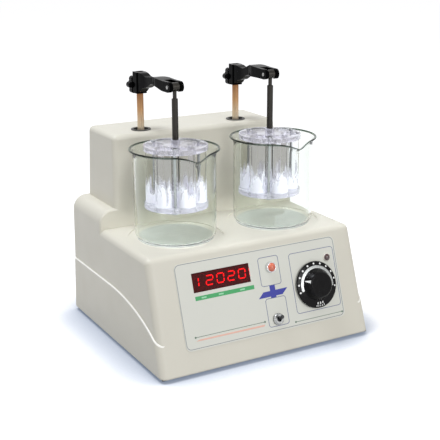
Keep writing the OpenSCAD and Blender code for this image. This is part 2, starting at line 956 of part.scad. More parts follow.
// The arm's outline from the side: [distance from the rod, height]. Both
// castings have one waist, and from there each runs to its own pin's height.
fork_u = arm_len - 12;
function waist_lift(side) = (rise(side) - left_rise) / 4;
function arm_top(side) = [
    [0, block_h], [11, block_h], [28, block_h - 3.5 + waist_lift(side)],
    [58, rise(side) + ear_r + 0.8], [fork_u, rise(side) + ear_r]
];
function arm_low(side) = [
    [0, 2], [8, 2.5], [20, 9], [48, 17.8 + waist_lift(side)],
    [60, 18 + waist_lift(side)], [fork_u, rise(side) - ear_r]
];
// The arm's half width from above: [distance from the rod, half width].
arm_half = [[0, 6], [8, 6], [30, 5], [48, 5.5], [66, fork_w / 2], [arm_len, fork_w / 2]];
arm_step = 3;

module arm_side_outline(side) {
    reach = arm_len;
    polygon(concat(
        [for (u = [0:arm_step:reach]) [u, along(arm_top(side), min(u, fork_u))]],
        [for (u = [reach:-arm_step:0]) [u, along(arm_low(side), min(u, fork_u))]]));
}

module arm_plan_outline() {
    reach = arm_len + ear_r;
    polygon(concat(
        [for (u = [0:arm_step:reach]) [-along(arm_half, min(u, arm_len)), -u]],
        [for (u = [floor(reach / arm_step) * arm_step:-arm_step:0]) [along(arm_half, min(u, arm_len)), -u]]));
}

// A cylinder across the arm, centred on the hanger's pin.
module across_fork(side, r, w) {
    translate([0, -arm_len, rise(side)])
        rotate([0, 90, 0])
            cylinder(r = r, h = w, center = true);
}

module clamp_arm(side) {
    color("#1b1c1e")
        on_arm(side, block_z)
            difference() {
                union() {
                    linear_extrude(block_h)
                        round_rect(block_w, block_w - 1, 2);
                    intersection() {
                        rotate([90, 0, -90])
                            linear_extrude(2 * fork_w, center = true)
                                arm_side_outline(side);
                        linear_extrude(2 * block_h)
                            arm_plan_outline();
                    }
                    across_fork(side, ear_r, fork_w);
                }
                translate([-fork_gap / 2, -arm_len - 2 * ear_r, 0])
                    cube([fork_gap, 2 * ear_r + 19, 2 * block_h]);
                bore(rod_r + SNUG, -OVER, 2 * block_h);
                across_fork(side, pin_r + SNUG, 2 * fork_w);
                translate([0, 0, knob_rise])
                    y_cylinder(2.5 + RUN, 0, block_w);
            }
}

module clamp_knob(side) {
    lobes = 6;
    low = (block_w - 1) / 2 + LOOSE;
    color("#141517")
        on_arm(side, block_z + knob_rise) {
            y_cylinder(2.5, rod_r + SEAT, low + OVER);
            y_cylinder(knob_r - 3, low, low + knob_t);
            for (i = [0:lobes - 1])
                rotate([0, i * 360 / lobes, 0])
                    translate([knob_r - knob_lobe_r, 0, 0])
                        y_cylinder(knob_lobe_r, low + 0.8, low + knob_t - 0.8);
        }
}

module hanger_pin(side) {
    color("silver")
        on_arm(side, block_z)
            across_fork(side, pin_r, fork_w + 2);
}

// Basket racks ----------------------------------------------------------------

module hanger_rod(side) {
    shoulder = upper_z + collar_h - pin_z(side);
    color("#5b5d60")
        on_hanger(side, pin_z(side))
            difference() {
                union() {
                    rotate([0, 90, 0])
                        cylinder(r = eye_r, h = eye_w, center = true);
                    bore(neck_r, -neck_len - OVER, -eye_r + 1);
                    bore(hanger_r, shoulder, -neck_len);
                    bore(tail_r, lower_z - pin_z(side), shoulder + OVER);
                }
                rotate([0, 90, 0])
                    cylinder(r = pin_r + RUN, h = 2 * eye_w, center = true);
            }
}

module hanger_collar(side) {
    color("#cfd2da")
        on_hanger(side, upper_z)
            difference() {
                bore(hanger_r + 2, 0, collar_h);
                bore(tail_r + SNUG, -OVER, collar_h + OVER);
            }
}

module rack_holes(low, high) {
    for (i = [0:5])
        rotate(30 + i * 60)
            translate([tube_ring_r, 0])
                bore(tube_r + SNUG, low, high);
    for (i = [0:2])
        rotate(i * 120)
            translate([bolt_ring_r, 0])
                bore(bolt_r + SNUG, low, high);
    bore(tail_r + SNUG, low, high);
}

module rack_plate(side, top) {
    color("#c9ccd8", 0.6)
        on_hanger(side, top)
            difference() {
                bore(rack_r, -rack_t, 0);
                rack_holes(-rack_t - OVER, OVER);
            }
}

module tubes(side) {
    color("#d4d8e0", 0.5)
        on_hanger(side, lower_z)
            for (i = [0:5])
                rotate(30 + i * 60)
                    translate([tube_ring_r, 0])
                        difference() {
                            bore(tube_r, 0, tube_h);
                            bore(tube_r - tube_wall, -OVER, tube_h + OVER);
                        }
}

module tie_bolts(side) {
    nut_h = 2;
    color("silver")
        on_hanger(side, lower_z)
            for (i = [0:2])
                rotate(i * 120)
                    translate([bolt_ring_r, 0, 0]) {
                        bore(bolt_r, -gauze_t - nut_h, rack_h + nut_h);
                        for (z = [-gauze_t - nut_h, rack_h])
                            translate([0, 0, z])
                                cylinder(r = bolt_r + 1.5, h = nut_h, $fn = 6);
                    }
}

module gauze(side) {
    color("#a8acb2")
        on_hanger(side, lower_z)
            difference() {
                bore(rack_r - 1, -gauze_t, 0);
                for (i = [0:2])
                    rotate(i * 120)
                        translate([bolt_ring_r, 0])
                            bore(bolt_r + SNUG, -gauze_t - OVER, OVER);
            }
}

// Beakers ---------------------------------------------------------------------

module beaker_form() {
    r = beaker_r;
    inner_r = r - glass_t;
    inner_heel = beaker_heel_r - glass_t;
    lip_r = glass_t / 2 + 0.3;
    lip_x = r + rim_flare - lip_r;
    lip_z = beaker_h - lip_r;
    rotate_extrude()
        polygon(concat(
            [[0, 0]],
            arc(r - beaker_heel_r, beaker_heel_r, beaker_heel_r, -90, 0, 6),
            [[r, beaker_h - rim_h], [r + rim_flare * 0.3, beaker_h - rim_h * 0.45]],
            arc(lip_x, lip_z, lip_r, -20, 150, 6),
            [[inner_r + rim_flare * 0.4, beaker_h - rim_h * 0.45], [inner_r, beaker_h - rim_h]],
            arc(inner_r - inner_heel, glass_floor + inner_heel, inner_heel, 0, -90, 6),
            [[0, glass_floor]]));
}

// A wedge from a chord of the wall out to the spout's tip, drawn in by skin.
module spout_form(skin, rise) {
    tip_y = -beaker_r - rim_flare - spout_reach;
    half = spout_half_w - skin;
    root_r = beaker_r - glass_t - 2;
    low = beaker_h - spout_h + 2 * skin;
    hull() {
        for (side = SIDES)
            translate([side * half, -sqrt(root_r * root_r - half * half), beaker_h - 4])
                cylinder(r = 0.4, h = 4 + rise, $fn = 12);
        translate([0, -beaker_r + glass_t + skin / 2, low])
            cylinder(r = 0.4, h = 2, $fn = 12);
        translate([0, tip_y + 1.5 + skin * 1.4, beaker_h - spout_dip - 3 + skin])
            cylinder(r = 1.2, h = 3 + rise - skin, $fn = 24);
    }
}

module beaker(side) {
    color("#dfe7e4", 0.35)
        translate([side * station_x, beaker_y, hot_z + 2 * SEAT])
            difference() {
                union() {
                    beaker_form();
                    difference() {
                        spout_form(0, 0);
                        cylinder(r = beaker_r - glass_t / 2, h = 2 * beaker_h);
                    }
                }
                spout_form(glass_t, 20);
                translate([0, -beaker_r - rim_flare - spout_reach / 2, beaker_h + 20 - spout_dip / 2])
                    rotate([atan(spout_dip / spout_reach), 0, 0])
                        cube([4 * spout_half_w, 2 * spout_reach, 40], center = true);
            }
}

// Electrics --------------------------------------------------------------------

module control_board() {
    w = 110;
    d = 78;
    stand = 6;
    side_gap = 20;
    color("#1f6a3c")
        translate([body_w / 2 - side_gap - w, front_y + 40, base_z]) {
            translate([0, 0, stand])
                cube([w, d, board_t]);
            for (x = [6, w - 6])
                for (y = [6, d - 6])
                    translate([x, y, 0])
                        cylinder(r = 3, h = stand + board_t / 2);
            for (i = [0:2])
                translate([18 + 22 * i, 20, stand])
                    cylinder(r = 7, h = 22);
            translate([14, 42, stand])
                cube([30, 22, 18]);
            translate([56, 38, stand])
                cube([40, 30, 12]);
        }
}

module transformer() {
    color("#6d4a2c")
        translate([-body_w / 2 + 62, front_y + 78, base_z]) {
            translate([-27, -24, 0])
                cube([54, 48, 4]);
            translate([-24, -12, 0])
                cube([48, 24, 46]);
            translate([-14, -22, 8])
                cube([28, 44, 30]);
        }
}

module mains_inlet() {
    floor_y = body_d / 2 - pocket_y - 1;
    w = inlet_w - 3;
    h = inlet_h - 3;
    color("#1c1d20")
        translate([socket_x - fuse_x / 2, floor_y, socket_z])
            difference() {
                union() {
                    translate([0, 1.2, 0])
                        cube([inlet_w + 6, 2.4, inlet_h + 5], center = true);
                    translate([0, -9, 0])
                        cube([w, 20, h], center = true);
                }
                difference() {
                    translate([0, -4, 0])
                        cube([w - 4, 22, h - 4], center = true);
                    for (x = [-7, 0, 7])
                        translate([x, -12, x == 0 ? 2 : -2])
                            cube([2, 18, 4], center = true);
                }
            }
}

module fuse_holder() {
    floor_y = body_d / 2 - pocket_y - 1;
    color("#1c1d20")
        translate([socket_x + fuse_x, 0, socket_z])
            difference() {
                union() {
                    y_cylinder(fuse_r, floor_y - 26, floor_y);
                    y_cylinder(fuse_r + 2, floor_y, floor_y + 1.4);
                    y_cylinder(fuse_r - 0.6, floor_y + 1.4, floor_y + 3.2);
                }
                translate([0, floor_y + 3.2, 0])
                    cube([2 * fuse_r, 2, 1.4], center = true);
            }
}

housing_shell();
base_plate();
case_screws();
rubber_feet();
front_panel_sheet();
display_window();
display_board();
display_digits();
power_lamp_bezel();
power_lamp_lens();
heater_lamp_bezel();
heater_lamp_lens();
switch_body();
switch_nut();
switch_lever();
thermostat_body();
temperature_spindle();
temperature_knob();
hot_plate(LEFT);  // left_hot_plate
hot_plate(RIGHT);  // right_hot_plate
heater(LEFT);  // left_heater
heater(RIGHT);  // right_heater
rod_bush(LEFT);  // left_rod_bush
rod_bush(RIGHT);  // right_rod_bush
guide_bracket();
motor_bracket();
gear_motor();
motor_shaft();
crank_disc();
crank_roller();
control_board();
transformer();
mains_inlet();
fuse_holder();
lift_rod(LEFT);  // left_lift_rod
lift_rod(RIGHT);  // right_lift_rod
crossbar();
yoke_plate();
clamp_arm(LEFT);  // left_clamp_arm
clamp_arm(RIGHT);  // right_clamp_arm
clamp_knob(LEFT);  // left_clamp_knob
clamp_knob(RIGHT);  // right_clamp_knob
hanger_pin(LEFT);  // left_hanger_pin
hanger_pin(RIGHT);  // right_hanger_pin
hanger_rod(LEFT);  // left_hanger_rod
hanger_rod(RIGHT);  // right_hanger_rod
hanger_collar(LEFT);  // left_hanger_collar
hanger_collar(RIGHT);  // right_hanger_collar
rack_plate(LEFT, upper_z);  // left_upper_plate
rack_plate(RIGHT, upper_z);  // right_upper_plate
rack_plate(LEFT, lower_z + rack_t);  // left_lower_plate
rack_plate(RIGHT, lower_z + rack_t);  // right_lower_plate
tubes(LEFT);  // left_tubes
tubes(RIGHT);  // right_tubes
tie_bolts(LEFT);  // left_tie_bolts
tie_bolts(RIGHT);  // right_tie_bolts
gauze(LEFT);  // left_gauze
gauze(RIGHT);  // right_gauze
beaker(LEFT);  // left_beaker
beaker(RIGHT);  // right_beaker
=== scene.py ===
"""Looks of a two-station tablet disintegration tester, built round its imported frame.

Metres, +Z up. The control panel faces -Y and the origin is on the ground.
"""
import json
import math

import bmesh
import bpy
from mathutils import Matrix, Vector

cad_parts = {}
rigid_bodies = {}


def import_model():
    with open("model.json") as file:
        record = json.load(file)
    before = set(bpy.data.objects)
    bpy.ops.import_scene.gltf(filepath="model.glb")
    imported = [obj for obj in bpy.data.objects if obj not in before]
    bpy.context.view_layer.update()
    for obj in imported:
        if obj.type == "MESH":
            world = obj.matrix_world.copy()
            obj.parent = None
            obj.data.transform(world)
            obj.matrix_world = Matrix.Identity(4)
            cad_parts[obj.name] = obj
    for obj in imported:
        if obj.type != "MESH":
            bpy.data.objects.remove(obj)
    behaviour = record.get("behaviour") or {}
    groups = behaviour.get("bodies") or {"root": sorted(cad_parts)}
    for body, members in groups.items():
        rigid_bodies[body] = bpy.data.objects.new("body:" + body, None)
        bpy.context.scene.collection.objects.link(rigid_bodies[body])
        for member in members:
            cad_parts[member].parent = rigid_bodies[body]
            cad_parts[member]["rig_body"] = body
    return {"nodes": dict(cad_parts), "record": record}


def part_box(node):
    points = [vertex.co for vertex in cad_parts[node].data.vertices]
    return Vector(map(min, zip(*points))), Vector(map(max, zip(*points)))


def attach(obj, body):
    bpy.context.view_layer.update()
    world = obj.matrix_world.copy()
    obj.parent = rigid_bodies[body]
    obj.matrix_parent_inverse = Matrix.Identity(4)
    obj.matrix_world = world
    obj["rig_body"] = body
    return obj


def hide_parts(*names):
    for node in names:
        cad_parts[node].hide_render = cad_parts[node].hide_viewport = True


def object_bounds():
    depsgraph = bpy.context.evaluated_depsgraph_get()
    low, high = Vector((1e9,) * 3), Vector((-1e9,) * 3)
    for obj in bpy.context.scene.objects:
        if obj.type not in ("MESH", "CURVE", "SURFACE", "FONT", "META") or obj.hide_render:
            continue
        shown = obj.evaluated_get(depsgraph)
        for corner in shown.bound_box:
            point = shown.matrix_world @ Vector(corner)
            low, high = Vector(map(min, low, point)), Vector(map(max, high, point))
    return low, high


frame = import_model()
CAD_LOW, CAD_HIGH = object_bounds()
MM = 0.001
SIDES = ("left", "right")

# ---------------------------------------------------------------- camera and stage

CAMERA_AT = Vector((-603.24, -1083.39, 521.08)) * MM
CAMERA_AZIMUTH = math.radians(-29.36)
CAMERA_ELEVATION = math.radians(16.85)
CAMERA_ROLL = math.radians(-0.23)
CAMERA_LENS = 78.92
CAMERA_SENSOR = 36.0

LIGHT_TARGET = Vector((0, 0, 150)) * MM
WORLD_LEVEL = 0.5
FLOOR_RADIUS = 14.0
FLOOR_LIFT = 0.78
FLOOR_GREY = (0.42, 0.42, 0.43, 1)
SHADOW_REACH = 70 * MM
# A painted contact shadow: how the floor's seen colour darkens near the object, openness from 0 to 1, and
# the colour there.
SHADOW_TINTS = ((0.5, (0.15, 0.2, 0.29, 1)), (0.72, (0.36, 0.42, 0.52, 1)), (0.95, (1, 1, 1, 1)))


def add_camera():
    """The photograph's view: right, up and back are the camera's own axes."""
    back = Vector((math.sin(CAMERA_AZIMUTH) * math.cos(CAMERA_ELEVATION),
                   -math.cos(CAMERA_AZIMUTH) * math.cos(CAMERA_ELEVATION),
                   math.sin(CAMERA_ELEVATION)))
    right = Vector((math.cos(CAMERA_AZIMUTH), math.sin(CAMERA_AZIMUTH), 0))
    up = back.cross(right)
    turned_right = right * math.cos(CAMERA_ROLL) + up * math.sin(CAMERA_ROLL)
    turned_up = up * math.cos(CAMERA_ROLL) - right * math.sin(CAMERA_ROLL)
    data = bpy.data.cameras.new("camera")
    data.lens = CAMERA_LENS
    data.sensor_width = CAMERA_SENSOR
    data.clip_start = 0.05
    data.clip_end = 60
    camera = bpy.data.objects.new("camera", data)
    matrix = Matrix((turned_right, turned_up, back)).transposed().to_4x4()
    matrix.translation = CAMERA_AT
    camera.matrix_world = matrix
    bpy.context.scene.collection.objects.link(camera)
    bpy.context.scene.camera = camera


def add_area_light(name, place, size, power, colour=(1, 1, 1)):
    data = bpy.data.lights.new(name, "AREA")
    data.shape = "DISK"
    data.size = size
    data.energy = power
    data.color = colour
    lamp = bpy.data.objects.new(name, data)
    lamp.location = place
    lamp.rotation_euler = (Vector(place) - LIGHT_TARGET).to_track_quat("Z", "Y").to_euler()
    bpy.context.scene.collection.objects.link(lamp)


def add_seen_factor(tree):
    """1 for the camera's, mirrors' and glass's rays, 0 for the light that falls on the object."""
    path = tree.nodes.new("ShaderNodeLightPath")
    total = path.outputs["Is Camera Ray"]
    for extra in ("Is Glossy Ray", "Is Transmission Ray"):
        add = tree.nodes.new("ShaderNodeMath")
        add.operation = "MAXIMUM"
        tree.links.new(total, add.inputs[0])
        tree.links.new(path.outputs[extra], add.inputs[1])
        total = add.outputs[0]
    return total


def add_world():
    world = bpy.data.worlds.new("studio")
    bpy.context.scene.world = world
    world.use_nodes = True
    tree = world.node_tree
    tree.nodes.clear()
    out = tree.nodes.new("ShaderNodeOutputWorld")
    mix = tree.nodes.new("ShaderNodeMixShader")
    lit = tree.nodes.new("ShaderNodeBackground")
    lit.inputs["Color"].default_value = (1, 1, 1, 1)
    lit.inputs["Strength"].default_value = WORLD_LEVEL
    seen = tree.nodes.new("ShaderNodeBackground")
    seen.inputs["Color"].default_value = (1, 1, 1, 1)
    seen.inputs["Strength"].default_value = 1.0
    tree.links.new(add_seen_factor(tree), mix.inputs[0])
    tree.links.new(lit.outputs[0], mix.inputs[1])
    tree.links.new(seen.outputs[0], mix.inputs[2])
    tree.links.new(mix.outputs[0], out.inputs["Surface"])


def add_floor():
    """A pale round floor. What the camera sees of it is lifted to white, and keeps the shadow.

    Close to the object that lift is darker and bluer, as far as SHADOW_REACH: a painted contact shadow.
    """
    mesh = bpy.data.meshes.new("floor")
    mesh.from_pydata([(x, y, 0) for x, y in circle(0, 0, FLOOR_RADIUS, 64)], [], [range(64)])
    floor = bpy.data.objects.new("floor", mesh)
    bpy.context.scene.collection.objects.link(floor)
    material = bpy.data.materials.new("floor")
    material.use_nodes = True
    tree = material.node_tree
    tree.nodes.clear()
    out = tree.nodes.new("ShaderNodeOutputMaterial")
    diffuse = tree.nodes.new("ShaderNodeBsdfDiffuse")
    diffuse.inputs["Color"].default_value = FLOOR_GREY
    openness = tree.nodes.new("ShaderNodeAmbientOcclusion")
    openness.inputs["Distance"].default_value = SHADOW_REACH
    openness.samples = 12
    tint = tree.nodes.new("ShaderNodeValToRGB")
    first, middle, last = SHADOW_TINTS
    tint.color_ramp.elements[0].position, tint.color_ramp.elements[0].color = first
    tint.color_ramp.elements[1].position, tint.color_ramp.elements[1].color = last
    tint.color_ramp.elements.new(middle[0]).color = middle[1]
    tree.links.new(openness.outputs["AO"], tint.inputs["Fac"])
    glow = tree.nodes.new("ShaderNodeEmission")
    glow.inputs["Strength"].default_value = FLOOR_LIFT
    tree.links.new(tint.outputs["Color"], glow.inputs["Color"])
    dark = tree.nodes.new("ShaderNodeEmission")
    dark.inputs["Strength"].default_value = 0
    mix = tree.nodes.new("ShaderNodeMixShader")
    add = tree.nodes.new("ShaderNodeAddShader")
    tree.links.new(add_seen_factor(tree), mix.inputs[0])
    tree.links.new(dark.outputs[0], mix.inputs[1])
    tree.links.new(glow.outputs[0], mix.inputs[2])
    tree.links.new(diffuse.outputs[0], add.inputs[0])
    tree.links.new(mix.outputs[0], add.inputs[1])
    tree.links.new(add.outputs[0], out.inputs["Surface"])
    mesh.materials.append(material)


def add_stage():
    add_camera()
    add_world()
    add_floor()
    add_area_light("key", (0.4, -2.6, 1.2), 1.4, 33, (0.97, 0.98, 1))
    add_area_light("top", (-0.7, 0.4, 2.3), 1.0, 38, (0.88, 0.92, 1))
    add_area_light("glint", (-1.1, -1.3, 1.7), 0.12, 1.2)
    bpy.context.scene.view_settings.view_transform = "Standard"


# ---------------------------------------------------------------- materials


def srgb(red, green, blue):
    """A linear colour from the 0 to 255 values that it shows as."""
    def linear(value):
        value /= 255
        return value / 12.92 if value <= 0.04045 else ((value + 0.055) / 1.055) ** 2.4
    return (linear(red), linear(green), linear(blue), 1.0)


def shade(colour, factor):
    return (colour[0] * factor, colour[1] * factor, colour[2] * factor, 1.0)


class Finish:
    """A node material round one Principled shader, with short calls for what varies over it."""

    def __init__(self, name, colour, rough=0.5, metal=0.0, **sockets):
        self.material = bpy.data.materials.new(name)
        self.material.use_nodes = True
        self.tree = self.material.node_tree
        self.shader = self.tree.nodes["Principled BSDF"]
        self.colour = colour
        self.rough = rough
        self.shader.inputs["Base Color"].default_value = colour
        self.shader.inputs["Roughness"].default_value = rough
        self.shader.inputs["Metallic"].default_value = metal
        for socket, value in sockets.items():
            self.shader.inputs[socket.replace("_", " ")].default_value = value
        self.place = self.tree.nodes.new("ShaderNodeTexCoord").outputs["Object"]
        self.normal = None

    def node(self, kind, **inputs):
        node = self.tree.nodes.new(kind)
        for socket, value in inputs.items():
            node.inputs[socket.replace("_", " ")].default_value = value
        return node

    def link(self, a, b):
        self.tree.links.new(a, b)

    def stretched(self, scale):
        """The object's coordinates, each multiplied by its own factor."""
        mapping = self.node("ShaderNodeMapping", Scale=scale)
        self.link(self.place, mapping.inputs["Vector"])
        return mapping.outputs["Vector"]

    def noise(self, size, detail=3.0, stretch=None):
        """Noise from 0 to 1 whose lumps are about `size` metres."""
        noise = self.node("ShaderNodeTexNoise", Scale=1 / size, Detail=detail)
        self.link(self.stretched(stretch) if stretch else self.place, noise.inputs["Vector"])
        return noise.outputs["Fac"]

    def spread(self, factor, low, high):
        """The factor, from its usual middle stretch to low..high."""
        span = self.node("ShaderNodeMapRange")
        span.inputs["From Min"].default_value = 0.3
        span.inputs["From Max"].default_value = 0.7
        span.inputs["To Min"].default_value = low
        span.inputs["To Max"].default_value = high
        self.link(factor, span.inputs["Value"])
        return span.outputs["Result"]

    def mottled(self, size, amount, detail=3.0, stretch=None, tint=None):
        """Lets the colour wander between itself and a darker or tinted one."""
        other = tint or shade(self.colour, 1 - amount)
        mix = self.node("ShaderNodeMix")
        mix.data_type = "RGBA"
        mix.inputs[6].default_value = self.colour
        mix.inputs[7].default_value = other
        self.link(self.spread(self.noise(size, detail, stretch), 0, 1), mix.inputs[0])
        self.link(mix.outputs[2], self.shader.inputs["Base Color"])
        return self

    def worn(self, size, amount, detail=3.0, stretch=None):
        """Lets the roughness wander up and down by `amount`."""
        low = max(0.0, self.rough - amount)
        factor = self.spread(self.noise(size, detail, stretch), low, self.rough + amount)
        self.link(factor, self.shader.inputs["Roughness"])
        return self

    def vary(self, socket, factor, low, high):
        """Drives a socket by a factor from 0 to 1."""
        span = self.node("ShaderNodeMapRange")
        span.inputs["To Min"].default_value = low
        span.inputs["To Max"].default_value = high
        self.link(factor, span.inputs["Value"])
        self.link(span.outputs["Result"], self.shader.inputs[socket])

    def relief(self, size, height, detail=2.0, stretch=None, strength=1.0):
        """Adds a bump of about `height` metres with lumps of `size` metres."""
        bump = self.node("ShaderNodeBump", Strength=strength, Distance=height)
        self.link(self.noise(size, detail, stretch), bump.inputs["Height"])
        if self.normal:
            self.link(self.normal, bump.inputs["Normal"])
        self.normal = bump.outputs["Normal"]
        self.link(self.normal, self.shader.inputs["Normal"])
        return self


CREAM = srgb(209, 205, 191)
# A paler cream for the ledge rounds: a painted highlight along the ledge.
PAINTED_HIGHLIGHT_CREAM = srgb(240, 238, 230)


def moulded_cream(name="housing_cream", colour=CREAM, rough=0.42):
    finish = Finish(name, colour, rough, Specular_IOR_Level=0.42)
    finish.mottled(0.09, 0.025).worn(0.03, 0.05)
    return finish.relief(0.0011, 0.00004, strength=0.5).relief(0.05, 0.0002, strength=0.25)


def printed_film():
    finish = Finish("panel_film", srgb(211, 211, 201), 0.46, Specular_IOR_Level=0.4)
    return finish.mottled(0.12, 0.02).worn(0.02, 0.04).relief(0.0006, 0.00002, strength=0.4)


def ink(name, colour, amount=0.05):
    finish = Finish("ink_" + name, colour, 0.5)
    return finish.mottled(0.004, amount).relief(0.0007, 0.00001, strength=0.3)


def red_filter():
    finish = Finish("window_red", srgb(166, 10, 20), 0.02,
                    Transmission_Weight=0.9, IOR=1.3, Specular_IOR_Level=0.1)
    return finish.worn(0.02, 0.01).relief(0.03, 0.00002, strength=0.2)


def lit_red():
    finish = Finish("segment_lit", srgb(255, 60, 60), 0.4, Emission_Strength=5.0)
    finish.shader.inputs["Emission Color"].default_value = srgb(255, 110, 120)
    return finish.mottled(0.002, 0.1)


def dim_red():
    return Finish("segment_dim", srgb(84, 34, 36), 0.4).mottled(0.002, 0.15)


def chrome(name="chrome", colour=srgb(225, 226, 228), rough=0.12):
    finish = Finish(name, colour, rough, 1.0)
    return finish.worn(0.004, 0.05).mottled(0.006, 0.06)


def turned_steel(name, colour, rough=0.3, along=(1, 1, 0.04)):
    """Steel with fine turning marks: the stretch lays the grain across the axis."""
    finish = Finish(name, colour, rough, 1.0)
    finish.mottled(0.01, 0.12).worn(0.006, 0.07)
    return finish.relief(0.0005, 0.00003, stretch=along, strength=0.35)


def zinc():
    finish = Finish("zinc", srgb(186, 189, 192), 0.35, 1.0)
    return finish.mottled(0.012, 0.15, detail=6).worn(0.01, 0.1).relief(0.003, 0.00005, strength=0.3)


def powder_coat():
    finish = Finish("powder_grey", srgb(138, 142, 148), 0.55)
    return finish.mottled(0.02, 0.06).relief(0.0012, 0.00008, strength=0.6)


def black_rubber():
    finish = Finish("rubber", srgb(44, 44, 46), 0.8, Specular_IOR_Level=0.3)
    return finish.mottled(0.008, 0.2).relief(0.0009, 0.00006)


def orange_lens():
    finish = Finish("lens_orange", srgb(186, 72, 40), 0.14, Coat_Weight=0.7, Emission_Strength=0.06)
    finish.shader.inputs["Emission Color"].default_value = srgb(255, 110, 60)
    return finish.mottled(0.003, 0.25, tint=srgb(208, 112, 80)).relief(0.0016, 0.00012, strength=0.6)


def dark_lens():
    finish = Finish("lens_dark_red", srgb(66, 16, 16), 0.14, Coat_Weight=0.7)
    return finish.mottled(0.002, 0.5, tint=srgb(34, 10, 12)).relief(0.0012, 0.0001, strength=0.6)


def pale_bezel():
    finish = Finish("bezel_pale", srgb(214, 208, 198), 0.32)
    return finish.mottled(0.003, 0.05).worn(0.003, 0.05)


def bakelite(name="knob_black", rough=0.26):
    finish = Finish(name, srgb(13, 12, 13), rough, Specular_IOR_Level=0.12)
    return finish.mottled(0.01, 0.25).worn(0.006, 0.06).relief(0.0014, 0.00003, strength=0.4)


def black_enamel():
    finish = Finish("enamel_black", srgb(3, 3, 4), 0.16, Specular_IOR_Level=0.02)
    return finish.mottled(0.02, 0.3).worn(0.012, 0.08).relief(0.006, 0.00035, detail=3, strength=0.5)


def brushed_aluminium():
    finish = Finish("plate_aluminium", srgb(190, 191, 184), 0.42, 0.15)
    finish.mottled(0.02, 0.12, detail=5).worn(0.01, 0.1)
    return finish.relief(0.0006, 0.00004, stretch=(1, 0.03, 1), strength=0.4)


def lift_rod_metal():
    """Lacquered brass, brown where the lacquer is whole and pale where the bush has worn it off."""
    finish = Finish("rod_brass", srgb(184, 130, 84), 0.34, 0.55)
    split = finish.node("ShaderNodeSeparateXYZ")
    finish.link(finish.place, split.inputs["Vector"])
    low, high = (corner.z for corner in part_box("left_clamp_arm"))
    span = finish.node("ShaderNodeMapRange")
    span.inputs["From Min"].default_value = low - 50 * MM
    span.inputs["From Max"].default_value = low + 2 * MM
    finish.link(split.outputs["Z"], span.inputs["Value"])
    ramp = finish.node("ShaderNodeValToRGB")
    ramp.color_ramp.elements[0].color = srgb(224, 210, 184)
    ramp.color_ramp.elements[1].color = srgb(146, 98, 58)
    middle = ramp.color_ramp.elements.new(0.55)
    middle.color = srgb(194, 150, 104)
    finish.link(span.outputs["Result"], ramp.inputs["Fac"])
    mix = finish.node("ShaderNodeMix")
    mix.data_type = "RGBA"
    mix.blend_type = "MULTIPLY"
    mix.inputs[7].default_value = (0.86, 0.84, 0.82, 1)
    finish.link(finish.spread(finish.noise(0.006, stretch=(1, 1, 0.12)), 0, 1), mix.inputs[0])
    finish.link(ramp.outputs["Color"], mix.inputs[6])
    finish.link(mix.outputs[2], finish.shader.inputs["Base Color"])
    return finish.worn(0.004, 0.06, stretch=(1, 1, 0.1))


DEEP_LAYERS = 9


def let_lamps_through(finish):
    """Lamps shine through as through real glass, which gathers their light again behind it.

    A ray that is deeper than DEEP_LAYERS shows a painted glow of plain cream. This emission stands in for
    the light seen through the layers, because the renderer's own limit on depth would show black there.
    """
    path = finish.node("ShaderNodeLightPath")
    clear = finish.node("ShaderNodeBsdfTransparent")
    mix = finish.node("ShaderNodeMixShader")
    finish.link(path.outputs["Is Shadow Ray"], mix.inputs[0])
    finish.link(finish.shader.outputs[0], mix.inputs[1])
    finish.link(clear.outputs[0], mix.inputs[2])
    deep = finish.node("ShaderNodeMath")
    deep.operation = "GREATER_THAN"
    deep.inputs[1].default_value = DEEP_LAYERS
    finish.link(path.outputs["Ray Depth"], deep.inputs[0])
    # Painted glow: a cream emission stands in for what deep rays would see through the layers.
    behind = finish.node("ShaderNodeEmission", Color=srgb(186, 184, 176))
    last = finish.node("ShaderNodeMixShader")
    finish.link(deep.outputs[0], last.inputs[0])
    finish.link(mix.outputs[0], last.inputs[1])
    finish.link(behind.outputs[0], last.inputs[2])
    finish.link(last.outputs[0], finish.tree.nodes["Material Output"].inputs["Surface"])
    return finish


def clear_glass(name, colour, ior):
    finish = Finish(name, colour, 0.01, Transmission_Weight=1.0, IOR=ior)
    return let_lamps_through(finish.worn(0.05, 0.01))


def clear_acrylic():
    """Cast acrylic with a lilac cast, scratched and a little milky from use."""
    finish = Finish("acrylic_clear", srgb(226, 225, 232), 0.1, Transmission_Weight=0.72, IOR=1.22)
    finish.mottled(0.012, 0.07, detail=5).worn(0.01, 0.06).relief(0.004, 0.00014, detail=4, strength=0.35)
    return let_lamps_through(finish)


def rack_tube():
    """Clear tubes that turn milky white in uneven tongues over their lower third."""
    finish = Finish("tube_clear", srgb(252, 252, 254), 0.03, IOR=1.09)
    split = finish.node("ShaderNodeSeparateXYZ")
    finish.link(finish.place, split.inputs["Vector"])
    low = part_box("left_tubes")[0].z
    reach = finish.spread(finish.noise(0.006, 4.0, stretch=(1, 1, 0.16)), low + 8 * MM, low + 46 * MM)
    above = finish.node("ShaderNodeMath")
    above.operation = "SUBTRACT"
    finish.link(reach, above.inputs[0])
    finish.link(split.outputs["Z"], above.inputs[1])
    milk = finish.node("ShaderNodeMapRange")
    milk.interpolation_type = "SMOOTHSTEP"
    milk.inputs["From Min"].default_value = -4 * MM
    milk.inputs["From Max"].default_value = 12 * MM
    finish.link(above.outputs[0], milk.inputs["Value"])
    finish.vary("Transmission Weight", milk.outputs["Result"], 1.0, 0.2)
    finish.vary("Roughness", milk.outputs["Result"], 0.03, 0.5)
    mix = finish.node("ShaderNodeMix")
    mix.data_type = "RGBA"
    mix.inputs[6].default_value = finish.colour
    mix.inputs[7].default_value = srgb(232, 231, 240)
    finish.link(milk.outputs["Result"], mix.inputs[0])
    finish.link(mix.outputs[2], finish.shader.inputs["Base Color"])
    return let_lamps_through(finish)


